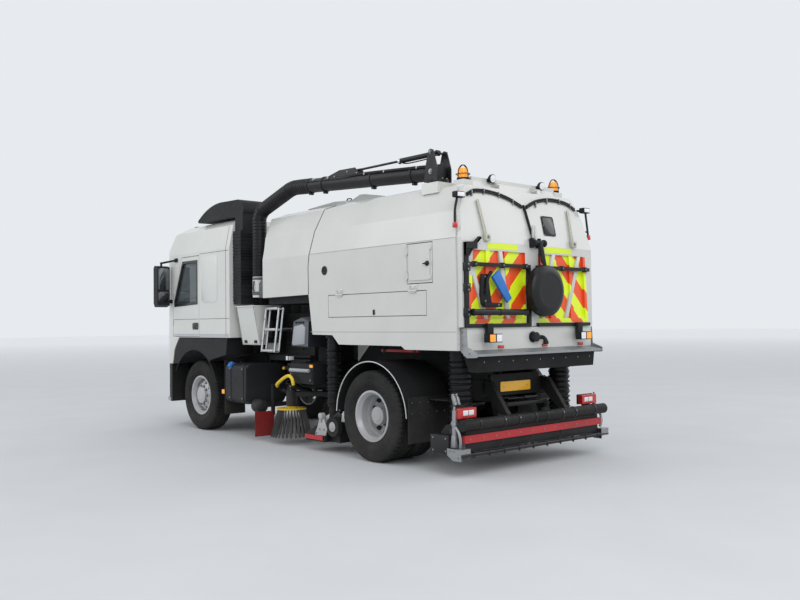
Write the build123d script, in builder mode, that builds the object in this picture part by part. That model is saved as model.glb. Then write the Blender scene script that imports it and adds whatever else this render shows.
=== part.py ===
from build123d import *
import os

os.makedirs("parts", exist_ok=True)

# Truck-mounted road sweeper with a full-width rear suction nozzle, in millimetres.
# +X is forward, +Y is the vehicle's left, +Z is up.  The origin is on the ground in the
# middle of the vehicle's length and width.  Most X places are given from the rear axle.

# Driving sizes of the whole vehicle
rear_axle_x = -2000.0
wheelbase = 4250.0
tyre_radius = 530.0
axle_z = tyre_radius
rail_half = 425.0
rail_top = 980.0
rail_height = 270.0
rail_web = 8.0
rail_flange = 80.0
body_half = 1150.0
cab_half = 1245.0
cab_floor = 1420.0
run_gap = 9.0
seat_gap = 0.3
run_fit = 0.08


def ax(x):
    """X measured forward from the rear axle."""
    return rear_axle_x + x


def side_plane(y):
    """Plane facing the right side at this Y: local x is X, local y is Z."""
    return Plane(origin=(0, y, 0), x_dir=(1, 0, 0), z_dir=(0, -1, 0))


def cross_plane(x):
    """Plane facing forward at this X: local x is Y, local y is Z."""
    return Plane(origin=(x, 0, 0), x_dir=(0, 1, 0), z_dir=(1, 0, 0))


def flat_plane(z):
    """Plane facing up at this Z."""
    return Plane.XY.offset(z)


def prism(plane, points, depth, mode=Mode.ADD, grow=0.0):
    """Outline of straight edges on a plane, grown by a margin and made solid along its normal."""
    with BuildSketch(plane) as outline:
        Polygon(*points, align=None)
        if grow:
            offset(amount=grow, kind=Kind.INTERSECTION, mode=Mode.REPLACE)
    return extrude(outline.sketch, amount=depth, mode=mode)


def side_prism(points, y_left, y_right, mode=Mode.ADD, grow=0.0):
    """Outline of (distance from the rear axle, Z) points between two Y places."""
    placed = [(ax(x), z) for x, z in points]
    return prism(side_plane(y_left), placed, y_left - y_right, mode, grow)


def cross_prism(points, x_rear, x_front, mode=Mode.ADD, grow=0.0):
    """Outline of (Y, Z) points between two distances from the rear axle."""
    return prism(cross_plane(ax(x_rear)), points, x_front - x_rear, mode, grow)


def flat_prism(points, z_low, z_high, mode=Mode.ADD, grow=0.0):
    """Outline of (distance from the rear axle, Y) points between two heights."""
    placed = [(ax(x), y) for x, y in points]
    return prism(flat_plane(z_low), placed, z_high - z_low, mode, grow)


def block(x_rear, x_front, y_low, y_high, z_low, z_high, mode=Mode.ADD):
    """Straight-sided piece between distances from the rear axle."""
    corners = [(x_rear, y_low), (x_front, y_low), (x_front, y_high), (x_rear, y_high)]
    return flat_prism(corners, z_low, z_high, mode)


def rod_y(x, z, radius, y_low, y_high, mode=Mode.ADD):
    """Round bar across the vehicle at a distance from the rear axle."""
    with BuildSketch(side_plane(y_high)) as outline:
        with Locations((ax(x), z)):
            Circle(radius)
    return extrude(outline.sketch, amount=y_high - y_low, mode=mode)


def rod_z(x, y, radius, z_low, z_high, mode=Mode.ADD):
    """Upright round bar at a distance from the rear axle."""
    with BuildSketch(flat_plane(z_low)) as outline:
        with Locations((ax(x), y)):
            Circle(radius)
    return extrude(outline.sketch, amount=z_high - z_low, mode=mode)


def rod_x(y, z, radius, x_rear, x_front, mode=Mode.ADD):
    """Lengthwise round bar between distances from the rear axle."""
    with BuildSketch(cross_plane(ax(x_rear))) as outline:
        with Locations((y, z)):
            Circle(radius)
    return extrude(outline.sketch, amount=x_front - x_rear, mode=mode)


def side_span(s, near, far):
    """Low and high Y of what lies between two distances from the middle, on side s."""
    return sorted((s * near, s * far))


def bar(start, end, radius, mode=Mode.ADD):
    """Round bar between two points given from the rear axle."""
    first = Vector(ax(start[0]), start[1], start[2])
    last = Vector(ax(end[0]), end[1], end[2])
    run = last - first
    with BuildSketch(Plane(origin=first, z_dir=run.normalized())) as outline:
        Circle(radius)
    return extrude(outline.sketch, amount=run.length, mode=mode)


def save(piece, name):
    piece.part.label = name
    export_step(piece.part, f"parts/{name}.step")


# Chassis frame: two channel rails and their cross members
frame_rear = -1120.0
frame_front = 5050.0
rail_low = rail_top - rail_height
cross_tube_radius = 55.0
cross_tube_places = (-560.0, 720.0, 1900.0, 2700.0)
cross_tube_drop = 70.0
cab_posts = (3200.0, 4930.0)
end_beam_half = 560.0
end_beam_depth = 90.0

tip_foot_x = -890.0
tip_foot_z = 842.0
tip_pin_radius = 22.0
broom_pivot_x = 1550.0
broom_pivot_y = 620.0
broom_pin_radius = 25.0
broom_arm_z = 660.0

with BuildPart() as chassis_frame:
    inner = rail_half - rail_flange
    web = rail_half - rail_web
    channel = [
        (rail_half, rail_low), (inner, rail_low), (inner, rail_low + rail_web), (web, rail_low + rail_web),
        (web, rail_top - rail_web), (inner, rail_top - rail_web), (inner, rail_top), (rail_half, rail_top),
    ]
    cross_prism(channel, frame_rear, frame_front)
    mirror(about=Plane.XZ)
    for place in cross_tube_places:
        rod_y(place, rail_top - cross_tube_drop, cross_tube_radius, -web, web)
    block(frame_front - 90, frame_front, -web, web, rail_low + 40, rail_top - 40)
    block(frame_rear, frame_rear + end_beam_depth, -end_beam_half, end_beam_half, rail_low + 60, rail_top - 20)
    rod_y(tip_foot_x, tip_foot_z, tip_pin_radius, -web, web)
    for level in (broom_arm_z - 95, broom_arm_z + 65):
        block(broom_pivot_x - 50, broom_pivot_x + 50, web, broom_pivot_y + 50, level, level + 30)
    rod_z(broom_pivot_x, broom_pivot_y, broom_pin_radius, broom_arm_z - 95, broom_arm_z + 95)
    block(broom_pivot_x - 50, broom_pivot_x + 50, web, rail_half + 40, broom_arm_z - 95, rail_low + 90)
    block(2480, 2540, rail_half, 960, rail_low + 20, rail_low + 60)
    block(2494, 2506, 940, 1245, 60, 400)
    block(2480, 2540, 930, 960, 340, rail_low + 60)
    for s in (1, -1):
        low_y, high_y = side_span(s, inner + 5, rail_half - 5)
        for place in cab_posts:
            block(place, place + 60, low_y, high_y, rail_top - 20, cab_floor - seat_gap)
save(chassis_frame, "chassis_frame")

# Subframe: two long tubes on the rails, cross pieces and the tipping hinge lugs at the rear
subframe_height = 110.0
subframe_top = rail_top + subframe_height
subframe_front = 2500.0
subframe_rear = -1100.0
pivot_x = -1220.0
pivot_z = 1150.0
pivot_pin_radius = 25.0
lug_inner = 300.0
lug_thick = 30.0
pin_half = 440.0

with BuildPart() as subframe:
    for s in (1, -1):
        low_y, high_y = side_span(s, rail_half, rail_half - rail_flange)
        block(subframe_rear, subframe_front, low_y, high_y, rail_top, subframe_top)
        lug = [
            (subframe_rear + 60, rail_top + 5), (subframe_rear + 60, subframe_top),
            (pivot_x + 55, pivot_z + 40),
            (pivot_x, pivot_z + 55), (pivot_x - 50, pivot_z + 20), (pivot_x - 50, pivot_z - 30),
        ]
        lug_left = max(s * lug_inner, s * (lug_inner + lug_thick))
        side_prism(lug, lug_left, lug_left - lug_thick)
        foot_low, foot_high = side_span(s, lug_inner, rail_half)
        block(subframe_rear, subframe_rear + 60, foot_low, foot_high, rail_top, subframe_top)
    for place in (-640.0, 520.0, 1500.0, 2420.0):
        reach = rail_half - rail_flange
        block(place, place + 80, -reach, reach, rail_top + 10, subframe_top - 10)
    rod_y(pivot_x, pivot_z, pivot_pin_radius, -pin_half, pin_half)
save(subframe, "subframe")

# Front axle: dropped beam with kingpin bosses, leaf springs and their hangers
king_y = 870.0
king_radius = 28.0
front_spring_y = 385.0
spring_width = 80.0
beam_z = axle_z - 60
boss_radius = 55.0
front_x = wheelbase

with BuildPart() as front_axle:
    beam = [
        (king_y - 40, axle_z + 35), (king_y - 40, axle_z - 35), (king_y - 150, axle_z - 45),
        (620, beam_z - 60), (-620, beam_z - 60), (150 - king_y, axle_z - 45), (40 - king_y, axle_z - 35),
        (40 - king_y, axle_z + 35), (150 - king_y, axle_z + 25), (-620, beam_z + 40), (620, beam_z + 40),
        (king_y - 150, axle_z + 25),
    ]
    cross_prism(beam, front_x - 55, front_x + 55)
    for s in (1, -1):
        rod_z(front_x, s * king_y, boss_radius, axle_z - 60, axle_z + 60)
        rod_z(front_x, s * king_y, king_radius, axle_z - 120, axle_z + 120)
        spring = [
            (front_x - 820, rail_low - 60), (front_x - 820, rail_low - 95), (front_x - 300, beam_z + 60),
            (front_x, beam_z + 40), (front_x + 300, beam_z + 60), (front_x + 700, rail_low - 95),
            (front_x + 700, rail_low - 60), (front_x + 300, beam_z + 110), (front_x, beam_z + 120),
            (front_x - 300, beam_z + 110),
        ]
        low_y, high_y = side_span(s, front_spring_y - spring_width / 2, front_spring_y + spring_width / 2)
        side_prism(spring, high_y, low_y)
        for end in (front_x - 820, front_x + 640):
            block(end, end + 60, low_y, high_y, rail_low - 95, rail_low - seat_gap)
save(front_axle, "front_axle")

# Rear axle: banjo casing, hub ends, drive cover and leaf springs outside the rails
rear_spring_y = 505.0
rear_spring_width = 80.0
hub_end_radius = 60.0
hub_end_half = 1040.0
casing_radius = 90.0

with BuildPart() as rear_axle:
    rod_y(0, axle_z, casing_radius, -560, 560)
    rod_y(0, axle_z, hub_end_radius, -hub_end_half, hub_end_half)
    with BuildSketch(Plane(origin=(ax(0), 0, axle_z), x_dir=(0, 1, 0), z_dir=(1, 0, 0))) as bowl:
        Circle(210)
    extrude(bowl.sketch, amount=120)
    with BuildSketch(Plane(origin=(ax(0), 0, axle_z), x_dir=(0, 1, 0), z_dir=(-1, 0, 0))) as cover:
        Circle(190)
    extrude(cover.sketch, amount=150, taper=28)
    for s in (1, -1):
        spring = [
            (-800, rail_low + 40), (-800, rail_low), (-300, axle_z + 100), (0, axle_z + 80), (300, axle_z + 100),
            (800, rail_low), (800, rail_low + 40), (300, axle_z + 165), (0, axle_z + 175), (-300, axle_z + 165),
        ]
        low_y = s * rear_spring_y - rear_spring_width / 2
        high_y = low_y + rear_spring_width
        side_prism(spring, high_y, low_y)
        for end in (-800.0, 740.0):
            seat_low, seat_high = side_span(s, rail_half + seat_gap, rear_spring_y + rear_spring_width / 2)
            block(end, end + 60, seat_low, seat_high, rail_low, rail_low + 120)
save(rear_axle, "rear_axle")

# Driveline: truck engine as one block, gearbox and propeller shaft
engine_rear = 3650.0
engine_front = 4900.0
gearbox_rear = 2950.0
gearbox_z = 790.0
gearbox_radius = 215.0
shaft_radius = 60.0
shaft_rear = 126.0

with BuildPart() as driveline:
    engine = [(-330, 620), (-300, 1330), (300, 1330), (330, 620), (200, 545), (-200, 545)]
    cross_prism(engine, front_x + 130, engine_front)
    cross_prism([(-300, 650), (-300, 1330), (300, 1330), (300, 650)], engine_rear, front_x + 130)
    rod_x(0, gearbox_z, gearbox_radius, gearbox_rear, engine_rear)
    bar((shaft_rear, 0, axle_z + 20), (gearbox_rear, 0, gearbox_z), shaft_radius)
save(driveline, "driveline")

# Road wheels.  One row for each: name, X from the rear axle, middle of the tyre in Y
tyre_width = 315.0
rim_radius = 298.5
rim_width = 260.0
front_tyre_y = 1000.0
twin_outer_y = 1095.0
twin_pitch = 345.0
hub_bore = hub_end_radius + run_fit
hand_hole_count = 10
hand_hole_radius = 27.0
hand_hole_circle = 200.0
bead_gap = 0.3
bead_depth = 12.0
rim_flange = 9.0


def tyre_ring(x, y):
    """One tyre: bead, wall bulged at its middle, chamfered shoulder and flat tread."""
    half = tyre_width / 2
    bead = rim_width / 2 - rim_flange - bead_gap
    inner = rim_radius - bead_depth
    left = [
        (bead, inner), (bead, rim_radius + 1), (half, rim_radius + 90),
        (half - 12, tyre_radius - 40), (half - 40, tyre_radius),
    ]
    with BuildSketch(Plane(origin=(ax(x), y, axle_z), x_dir=(0, 1, 0), z_dir=(1, 0, 0))) as section:
        Polygon(*left, *[(-a, radius) for a, radius in reversed(left)], align=None)
    axis = Axis((ax(x), y, axle_z), (0, 1, 0))
    return revolve(section.sketch, axis=axis)


def rim_disc(x, y, s, face_y):
    """One wheel: dropped rim, dish from the rim out to the bolting face and hand holes.

    face_y is where the flat bolting face lies, measured outboard from the tyre's middle,
    and s is the side of the vehicle that the wheel faces.
    """
    half = rim_width / 2
    with BuildSketch(Plane(origin=(ax(x), y, axle_z), x_dir=(0, s, 0), z_dir=(s, 0, 0))) as section:
        outer = rim_radius - bead_depth - bead_gap
        Polygon(
            (half, rim_radius), (half, rim_radius - 24), (half - 50, rim_radius - 52),
            (-half + 50, rim_radius - 52), (-half, rim_radius - 26), (-half, rim_radius),
            (-half + rim_flange, rim_radius), (-half + rim_flange, outer - 6), (-half + 60, outer - 28),
            (half - 60, outer - 28), (half - rim_flange, outer - 6), (half - rim_flange, rim_radius), align=None,
        )
        Polygon(
            (face_y, hub_bore), (face_y, 165), (face_y * 0.55, 225), (0, rim_radius - 56),
            (-16, rim_radius - 46), (-16, rim_radius - 66), (face_y * 0.55 - 16, 212), (face_y - 14, 158),
            (face_y - 14, hub_bore), align=None,
        )
    axis = Axis((ax(x), y, axle_z), (0, 1, 0))
    revolve(section.sketch, axis=axis)
    with BuildSketch(side_plane(y + 200)) as holes:
        with Locations((ax(x), axle_z)):
            with PolarLocations(hand_hole_circle, hand_hole_count):
                Circle(hand_hole_radius)
    extrude(holes.sketch, amount=400, mode=Mode.SUBTRACT)


front_face = 95.0
rear_face = -125.0
hub_cap_radius = 125.0
for side_name, s in (("left", 1), ("right", -1)):
    with BuildPart() as front_tyre:
        tyre_ring(front_x, s * front_tyre_y)
    save(front_tyre, f"front_tyre_{side_name}")

    with BuildPart() as front_rim:
        rim_disc(front_x, s * front_tyre_y, s, front_face)
        low_y, high_y = side_span(s, front_tyre_y + front_face - 14, front_tyre_y + rim_width / 2 - 2)
        rod_y(front_x, axle_z, hub_cap_radius, low_y, high_y)
    save(front_rim, f"front_rim_{side_name}")

    # Knuckle: kingpin sleeve split over the axle boss, steering arm and stub axle
    with BuildPart() as knuckle:
        sleeve = king_radius + run_fit
        rod_z(front_x, s * king_y, boss_radius, axle_z + 62, axle_z + 118)
        rod_z(front_x, s * king_y, boss_radius, axle_z - 118, axle_z - 62)
        low_y, high_y = side_span(s, king_y + boss_radius + 5, king_y + boss_radius + 32)
        block(front_x - 50, front_x + 50, low_y, high_y, axle_z - 118, axle_z + 118)
        web_low, web_high = side_span(s, king_y + 10, king_y + boss_radius + 20)
        block(front_x - 45, front_x + 45, web_low, web_high, axle_z + 62, axle_z + 118)
        block(front_x - 45, front_x + 45, web_low, web_high, axle_z - 118, axle_z - 62)
        rod_z(front_x, s * king_y, sleeve, axle_z - 130, axle_z + 130, Mode.SUBTRACT)
        stub_low, stub_high = side_span(s, king_y + boss_radius + 20, front_tyre_y + front_face - 14 - seat_gap)
        rod_y(front_x, axle_z, hub_end_radius, stub_low, stub_high)
        arm = [(front_x - 240, s * (king_y - 60)), (front_x - 200, s * (king_y - 110)),
               (front_x - 30, s * (king_y - 30)), (front_x - 30, s * (king_y + 40))]
        flat_prism(arm, axle_z - 112, axle_z - 82)
    save(knuckle, f"knuckle_{side_name}")

    with BuildPart() as rear_tyres:
        for row in (0, 1):
            tyre_ring(0, s * (twin_outer_y - row * twin_pitch))
    save(rear_tyres, f"rear_tyres_{side_name}")

    with BuildPart() as rear_rims:
        rim_disc(0, s * twin_outer_y, s, rear_face)
        rim_disc(0, s * (twin_outer_y - twin_pitch), -s, rear_face)
        low_y, high_y = side_span(s, twin_outer_y - twin_pitch + 110, twin_outer_y - 110)
        rod_y(0, axle_z, 158, low_y, high_y)
        cap_low, cap_high = side_span(s, twin_outer_y - 126, twin_outer_y + 40)
        rod_y(0, axle_z, 105, cap_low, cap_high)
        bore_low, bore_high = side_span(s, twin_outer_y - twin_pitch, hub_end_half + 6)
        rod_y(0, axle_z, hub_bore, bore_low, bore_high, Mode.SUBTRACT)
    save(rear_rims, f"rear_rims_{side_name}")

# Cab.  Its body is one side outline, one plan outline and one front outline crossed together
cab_rear = 3170.0
cab_low = 1000.0
cab_roof = 3150.0
cab_wall = 60.0
nose_x = 5600.0
nose_corner_x = 5480.0
nose_corner_y = 800.0
corner_start_x = 5000.0


def plan_face(z, inset=0.0, front=nose_x):
    """Plan outline of the cab front: straight sides, swept corners and a bowed nose."""
    back = nose_x - front + inset
    half = cab_half - inset
    corner_x, corner_y = nose_corner_x - back, nose_corner_y - inset * 0.4
    turn_x = ax(corner_start_x - back)
    middle_x = ax(corner_start_x * 0.36 + nose_corner_x * 0.64 - back + 3)
    middle_y = half - 135 + inset * 0.3
    with BuildSketch(flat_plane(z)) as outline:
        with BuildLine():
            Polyline((turn_x, -half), (ax(cab_rear + inset), -half), (ax(cab_rear + inset), half), (turn_x, half))
            ThreePointArc((turn_x, half), (middle_x, middle_y), (ax(corner_x), corner_y))
            ThreePointArc((ax(corner_x), corner_y), (ax(nose_x - back), 0), (ax(corner_x), -corner_y))
            ThreePointArc((ax(corner_x), -corner_y), (middle_x, -middle_y), (turn_x, -half))
        make_face()
    return outline.sketch


def cab_form(inset=0.0, low=cab_low, floor=cab_floor):
    """The cab body pulled in by a wall thickness on every side."""
    side = [
        (cab_rear + inset, floor), (cab_rear + inset, 3070 - inset), (cab_rear + 70 + inset, cab_roof - inset),
        (4700 - inset * 0.5, cab_roof - inset), (4960 - inset, 3040 - inset * 0.6), (5140 - inset, 2700),
        (5530 - inset, 1970), (nose_x - inset, 1750), (nose_x - inset, low), (4960 + inset, low),
        (4900 + inset, 1230), (4740 + inset, floor),
    ]
    front = [
        (cab_half - inset, low), (cab_half - inset, 2720), (cab_half - 70 - inset, 3060 - inset * 0.5),
        (cab_half - 190 - inset, cab_roof - inset), (190 + inset - cab_half, cab_roof - inset),
        (70 + inset - cab_half, 3060 - inset * 0.5), (inset - cab_half, 2720), (inset - cab_half, low),
    ]
    with BuildPart() as form:
        side_prism(side, cab_half + 5, -cab_half - 5)
        extrude(plan_face(low - 5, inset), amount=cab_roof - low + 10, mode=Mode.INTERSECT)
        cross_prism(front, cab_rear - 5, nose_x + 5, Mode.INTERSECT)
    return form.part


door_outline = [(4930, 1440), (4930, 1960), (4640, 2665), (4085, 2665), (4085, 1440)]
window_outline = [(4868, 1925), (4868, 1985), (4600, 2580), (4150, 2580), (4150, 1950)]
screen_outline = [(-1080, 1990), (-1000, 2630), (1000, 2630), (1080, 1990)]
glass_thick = 6.0
door_depth = 150.0

cab_outer = cab_form()
cab_inner = cab_form(cab_wall, cab_floor + cab_wall, cab_floor + cab_wall)
with BuildPart() as cab_wall_form:
    add(cab_outer)
    add(cab_inner, mode=Mode.SUBTRACT)

# Grille: openings between slats, sunk into the bowed nose
grille_depth = 22.0
grille_outline = [(-600, 1075), (-625, 1640), (625, 1640), (600, 1075)]
slat_rise = 36.0
slat_count = 4
slat_pitch = 113.0
first_slat = 1130.0
with BuildPart() as grille_sink:
    add(cab_outer)
    add(cab_form(grille_depth), mode=Mode.SUBTRACT)
    cross_prism(grille_outline, nose_corner_x - 100, nose_x + 20, Mode.INTERSECT)
    for slat in range(slat_count):
        level = first_slat + slat * slat_pitch
        block(nose_corner_x - 100, nose_x, -cab_half, cab_half, level, level + slat_rise, Mode.SUBTRACT)

with BuildPart() as cab_shell:
    add(cab_wall_form.part)
    add(grille_sink.part, mode=Mode.SUBTRACT)
    for s in (1, -1):
        low_y, high_y = side_span(s, cab_half - door_depth, cab_half + 10)
        side_prism(door_outline, high_y, low_y, Mode.SUBTRACT, grow=run_gap)
    cross_prism(screen_outline, 4700, nose_x + 20, Mode.SUBTRACT)
    block(4700, nose_x - 120, 90 - cab_half, cab_half - 90, cab_low - 5, cab_floor, Mode.SUBTRACT)
save(cab_shell, "cab_shell")

with BuildPart() as windscreen:
    add(cab_form(glass_thick))
    add(cab_form(2 * glass_thick), mode=Mode.SUBTRACT)
    cross_prism(screen_outline, 4700, nose_x + 20, Mode.INTERSECT, grow=-seat_gap)
save(windscreen, "windscreen")

for side_name, s in (("left", 1), ("right", -1)):
    low_y, high_y = side_span(s, cab_half - door_depth, cab_half + 10)
    with BuildPart() as cab_door:
        add(cab_wall_form.part)
        side_prism(door_outline, high_y, low_y, Mode.INTERSECT)
        side_prism(window_outline, high_y, low_y, Mode.SUBTRACT)
        handle_low, handle_high = side_span(s, cab_half - 20, cab_half + 12)
        block(4130, 4260, handle_low, handle_high, 1560, 1625)
    save(cab_door, f"cab_door_{side_name}")

    glass_left = max(s * (cab_half - 24), s * (cab_half - 24 - glass_thick))
    with BuildPart() as door_glass:
        side_prism(window_outline, glass_left, glass_left - glass_thick, grow=-seat_gap)
    save(door_glass, f"door_glass_{side_name}")

# Cab inside: two seats on plinths, dashboard and steering wheel on the right
seat_y = 620.0
with BuildPart() as cab_interior:
    floor_top = cab_floor + cab_wall
    for s in (1, -1):
        seat = [
            (3950, floor_top), (4420, floor_top), (4400, 1740), (4520, 1760), (4540, 1870), (4080, 1860),
            (3960, 2420), (3880, 2470), (3820, 2430), (3900, 1800),
        ]
        side_prism(seat, s * seat_y + 260, s * seat_y - 260)
        rest = [(3850, 2440), (3940, 2440), (3960, 2640), (3880, 2660)]
        side_prism(rest, s * seat_y + 130, s * seat_y - 130)
    dash = [
        (5010, floor_top), (5370, floor_top), (5340, 1900), (5180, 1960), (4950, 1930), (4900, 1800), (4980, 1720),
    ]
    side_prism(dash, 760, -760)
    column_foot, column_top = (4990, -seat_y, 1800), (4760, -seat_y, 2000)
    bar(column_foot, column_top, 30)
    tilt = Vector(column_top[0] - column_foot[0], 0, column_top[2] - column_foot[2]).normalized()
    wheel_plane = Plane(origin=(ax(column_top[0]), column_top[1], column_top[2]), z_dir=tilt)
    with BuildSketch(wheel_plane) as wheel_ring:
        Circle(225)
        Circle(198, mode=Mode.SUBTRACT)
        Rectangle(400, 40)
        Circle(60)
    extrude(wheel_ring.sketch, amount=24)
save(cab_interior, "cab_interior")

# Front bumper with the lower grille, corner steps and lamp recess
bumper_low = 400.0
bumper_top = cab_low - 10
bumper_rear = 4975.0
lamp_inner = 720.0
lamp_outer = 1050.0
lamp_rear = 5330.0
lamp_low = 820.0
lamp_top = 960.0
tow_y = -480.0
tow_z = 460.0
tow_radius = 22.0
with BuildPart() as front_bumper:
    extrude(plan_face(bumper_low, 0.0, nose_x - 15), amount=bumper_top - bumper_low)
    block(cab_rear - 10, bumper_rear, -cab_half - 10, cab_half + 10, 0, 1500, Mode.SUBTRACT)
    block(frame_front - 200, 5420, -700, 700, 0, 1500, Mode.SUBTRACT)
    for s in (1, -1):
        low_y, high_y = side_span(s, 700, 950)
        block(bumper_rear - 5, 5300, low_y, high_y, 0, 1500, Mode.SUBTRACT)
    for level in (520.0, 640.0, 760.0):
        block(5460, nose_x, -620, 620, level, level + 70, Mode.SUBTRACT)
    block(frame_front + seat_gap, 5425, -rail_half, rail_half, rail_low + 50, rail_top - 60)
    for s in (1, -1):
        low_y, high_y = side_span(s, lamp_inner, lamp_outer)
        block(lamp_rear, nose_x, low_y, high_y, lamp_low, lamp_top, Mode.SUBTRACT)
    rod_x(tow_y, tow_z, tow_radius, 5470, nose_x, Mode.SUBTRACT)
save(front_bumper, "front_bumper")

# Front wheel arches and rear mudguards: four shells
arch_gap = 700.0
guard_outer = 1250.0
rear_guard_radius = 640.0
guard_thick = 10.0
with BuildPart() as mudguards:
    for s in (1, -1):
        outer_y, inner_y = max(s * 1240, s * 800), min(s * 1240, s * 800)
        arch = [
            (4945, 1000), (4886, 1222), (4722, 1410), (3250, 1410), (3290, 1170), (3690, 1100), (3800, 1060),
        ]
        side_prism(arch, outer_y, inner_y)
        rod_y(front_x, axle_z, arch_gap, inner_y - 5, outer_y + 5, Mode.SUBTRACT)
        low, high = side_span(s, 560, guard_outer)
        with BuildSketch(side_plane(high)) as guard:
            with Locations((ax(0), axle_z)):
                Circle(rear_guard_radius)
                Circle(rear_guard_radius - guard_thick, mode=Mode.SUBTRACT)
            with Locations((ax(0), axle_z + 30 - 400)):
                Rectangle(1400, 800, mode=Mode.SUBTRACT)
        extrude(guard.sketch, amount=high - low)
        low_y, high_y = side_span(s, rail_half + seat_gap, 620)
        for place in (-430, 430):
            rod_y(place, 985, 16, low_y, high_y)
        low_y, high_y = side_span(s, 345, 805)
        block(3380, 3440, low_y, high_y, 1200, 1260)
        low_y, high_y = side_span(s, 345, rail_half)
        block(3380, 3440, low_y, high_y, rail_top + seat_gap, 1210)
save(mudguards, "mudguards")

# Sweeper engine block, its tray across the subframe and the fan drive behind the cab
engine_half = 620.0
louvre_depth = 14.0
louvre_count = 9
louvre_low = 1240.0
louvre_pitch = 54.0
louvre_rise = 26.0
with BuildPart() as sweeper_engine:
    block(1950, 2960, -engine_half, engine_half, 1170, 1760)
    block(1950, 2960, -700, 700, subframe_top + seat_gap, 1170)
    for s in (1, -1):
        low_y, high_y = side_span(s, engine_half - louvre_depth, engine_half + 1)
        for bank in (1990, 2330):
            for louvre in range(louvre_count):
                low = louvre_low + louvre * louvre_pitch
                block(bank, bank + 250, low_y, high_y, low, low + louvre_rise, Mode.SUBTRACT)
save(sweeper_engine, "sweeper_engine")

# Fuel tank on the left, air tanks and the round drier beside it
tank_low = 480.0
tank_top = 1050.0
fuel_cap_x = 3240.0
with BuildPart() as side_tanks:
    with BuildSketch(cross_plane(ax(2760))) as tank_section:
        with Locations((890, (tank_low + tank_top) / 2)):
            RectangleRounded(640, tank_top - tank_low, 90)
    extrude(tank_section.sketch, amount=600)
    with BuildSketch(cross_plane(ax(2860))) as strap_section:
        with Locations((890, (tank_low + tank_top) / 2)):
            RectangleRounded(652, tank_top - tank_low + 12, 96)
            RectangleRounded(640, tank_top - tank_low, 90, mode=Mode.SUBTRACT)
    for place in (0, 340):
        extrude(strap_section.sketch.moved(Location((place, 0, 0))), amount=50)
    block(2900, 3200, rail_half + seat_gap, 600, 780, 900)
    bar((fuel_cap_x, 1140, 985), (fuel_cap_x, 1204, 1041), 46)
    rod_x(1090, 470, 95, 2560, 2700)
    block(2600, 2660, rail_half + seat_gap, 1010, 440, 500)
    block(2600, 2660, rail_half + seat_gap, 500, 440, rail_top - 100)
save(side_tanks, "side_tanks")

# Black equipment boxes: battery box on the right and locker with its marker on the left
with BuildPart() as equipment_boxes:
    block(2350, 3350, -1180, -600, 520, 1040)
    block(2500, 2600, -600, -rail_half - seat_gap, 760, 860)
    block(3100, 3200, -600, -rail_half - seat_gap, 760, 860)
    for s in (1, -1):
        low_y, high_y = side_span(s, 720, 1130)
        block(1280, 1780, low_y, high_y, 830, 1090)
        low_y, high_y = side_span(s, rail_half + seat_gap, 720)
        block(1350, 1420, low_y, high_y, 880, 950)
        block(1640, 1710, low_y, high_y, 880, 950)
save(equipment_boxes, "equipment_boxes")

# Air intake: ribbed duct behind the cab and moulded hood curved over the roof
duct_rear = 2950.0
duct_front = cab_rear - 12
duct_inner = 900.0
duct_outer = 1185.0
with BuildPart() as air_intake:
    block(duct_rear, duct_front, duct_inner, duct_outer, 1905, 2960)
    for rib in range(21):
        low = 1950 + rib * 48
        block(duct_rear - 8, duct_front, duct_inner - 8, duct_outer + 8, low, low + 22)
    with BuildSketch(side_plane(1150)) as hood:
        with BuildLine():
            Polyline((ax(duct_rear), 2960), (ax(duct_front + 4), 2960), (ax(duct_front + 4), 3175),
                     (ax(4260), 3185), (ax(4280), 3215))
            ThreePointArc((ax(4280), 3215), (ax(3960), 3370), (ax(3480), 3430))
            Line((ax(3480), 3430), (ax(3100), 3420))
            ThreePointArc((ax(3100), 3420), (ax(duct_rear + 14), 3350), (ax(duct_rear), 3200))
            Line((ax(duct_rear), 3200), (ax(duct_rear), 2960))
        make_face()
    extrude(hood.sketch, amount=400)
    block(cab_rear - 40, cab_rear - seat_gap, 980, 1060, 2300, 2360)
    block(cab_rear - 40, cab_rear - seat_gap, 980, 1060, 2000, 2060)
    rod_z(3700, 950, 30, cab_roof + seat_gap, 3190)
save(air_intake, "air_intake")

# Mirrors: housing, lower cap and two arms on each side of the cab
mirror_half = 1500.0
with BuildPart() as mirrors:
    for s in (1, -1):
        low_y, high_y = side_span(s, mirror_half - 210, mirror_half)
        housing = [(4960, 1930), (5060, 1900), (5100, 1960), (5100, 2520), (5060, 2560), (4960, 2540)]
        side_prism(housing, high_y, low_y)
        bar((5040, s * (mirror_half - 100), 2540), (5030, s * (mirror_half - 100), 2610), 16)
        bar((5030, s * (mirror_half - 86), 2600), (4800, s * (cab_half + 16), 2640), 16)
        bar((5030, s * (mirror_half - 190), 1990), (4980, s * (cab_half + 16), 1990), 15)
        foot_low, foot_high = side_span(s, cab_half + seat_gap, cab_half + 26)
        block(4770, 4840, foot_low, foot_high, 2610, 2670)
        block(4950, 4998, foot_low, foot_high, 1960, 2020)
save(mirrors, "mirrors")

# White tapered boxes behind the cab and their brackets to the subframe
with BuildPart() as side_boxes:
    for s in (1, -1):
        section = [(s * 1200, 1865), (s * 760, 1865), (s * 760, 1320), (s * 1095, 1320)]
        cross_prism(section, 2590, 3060)
        low_y, high_y = side_span(s, engine_half + seat_gap, 760)
        block(2650, 2950, low_y, high_y, 1200, 1500)
save(side_boxes, "side_boxes")

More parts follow.
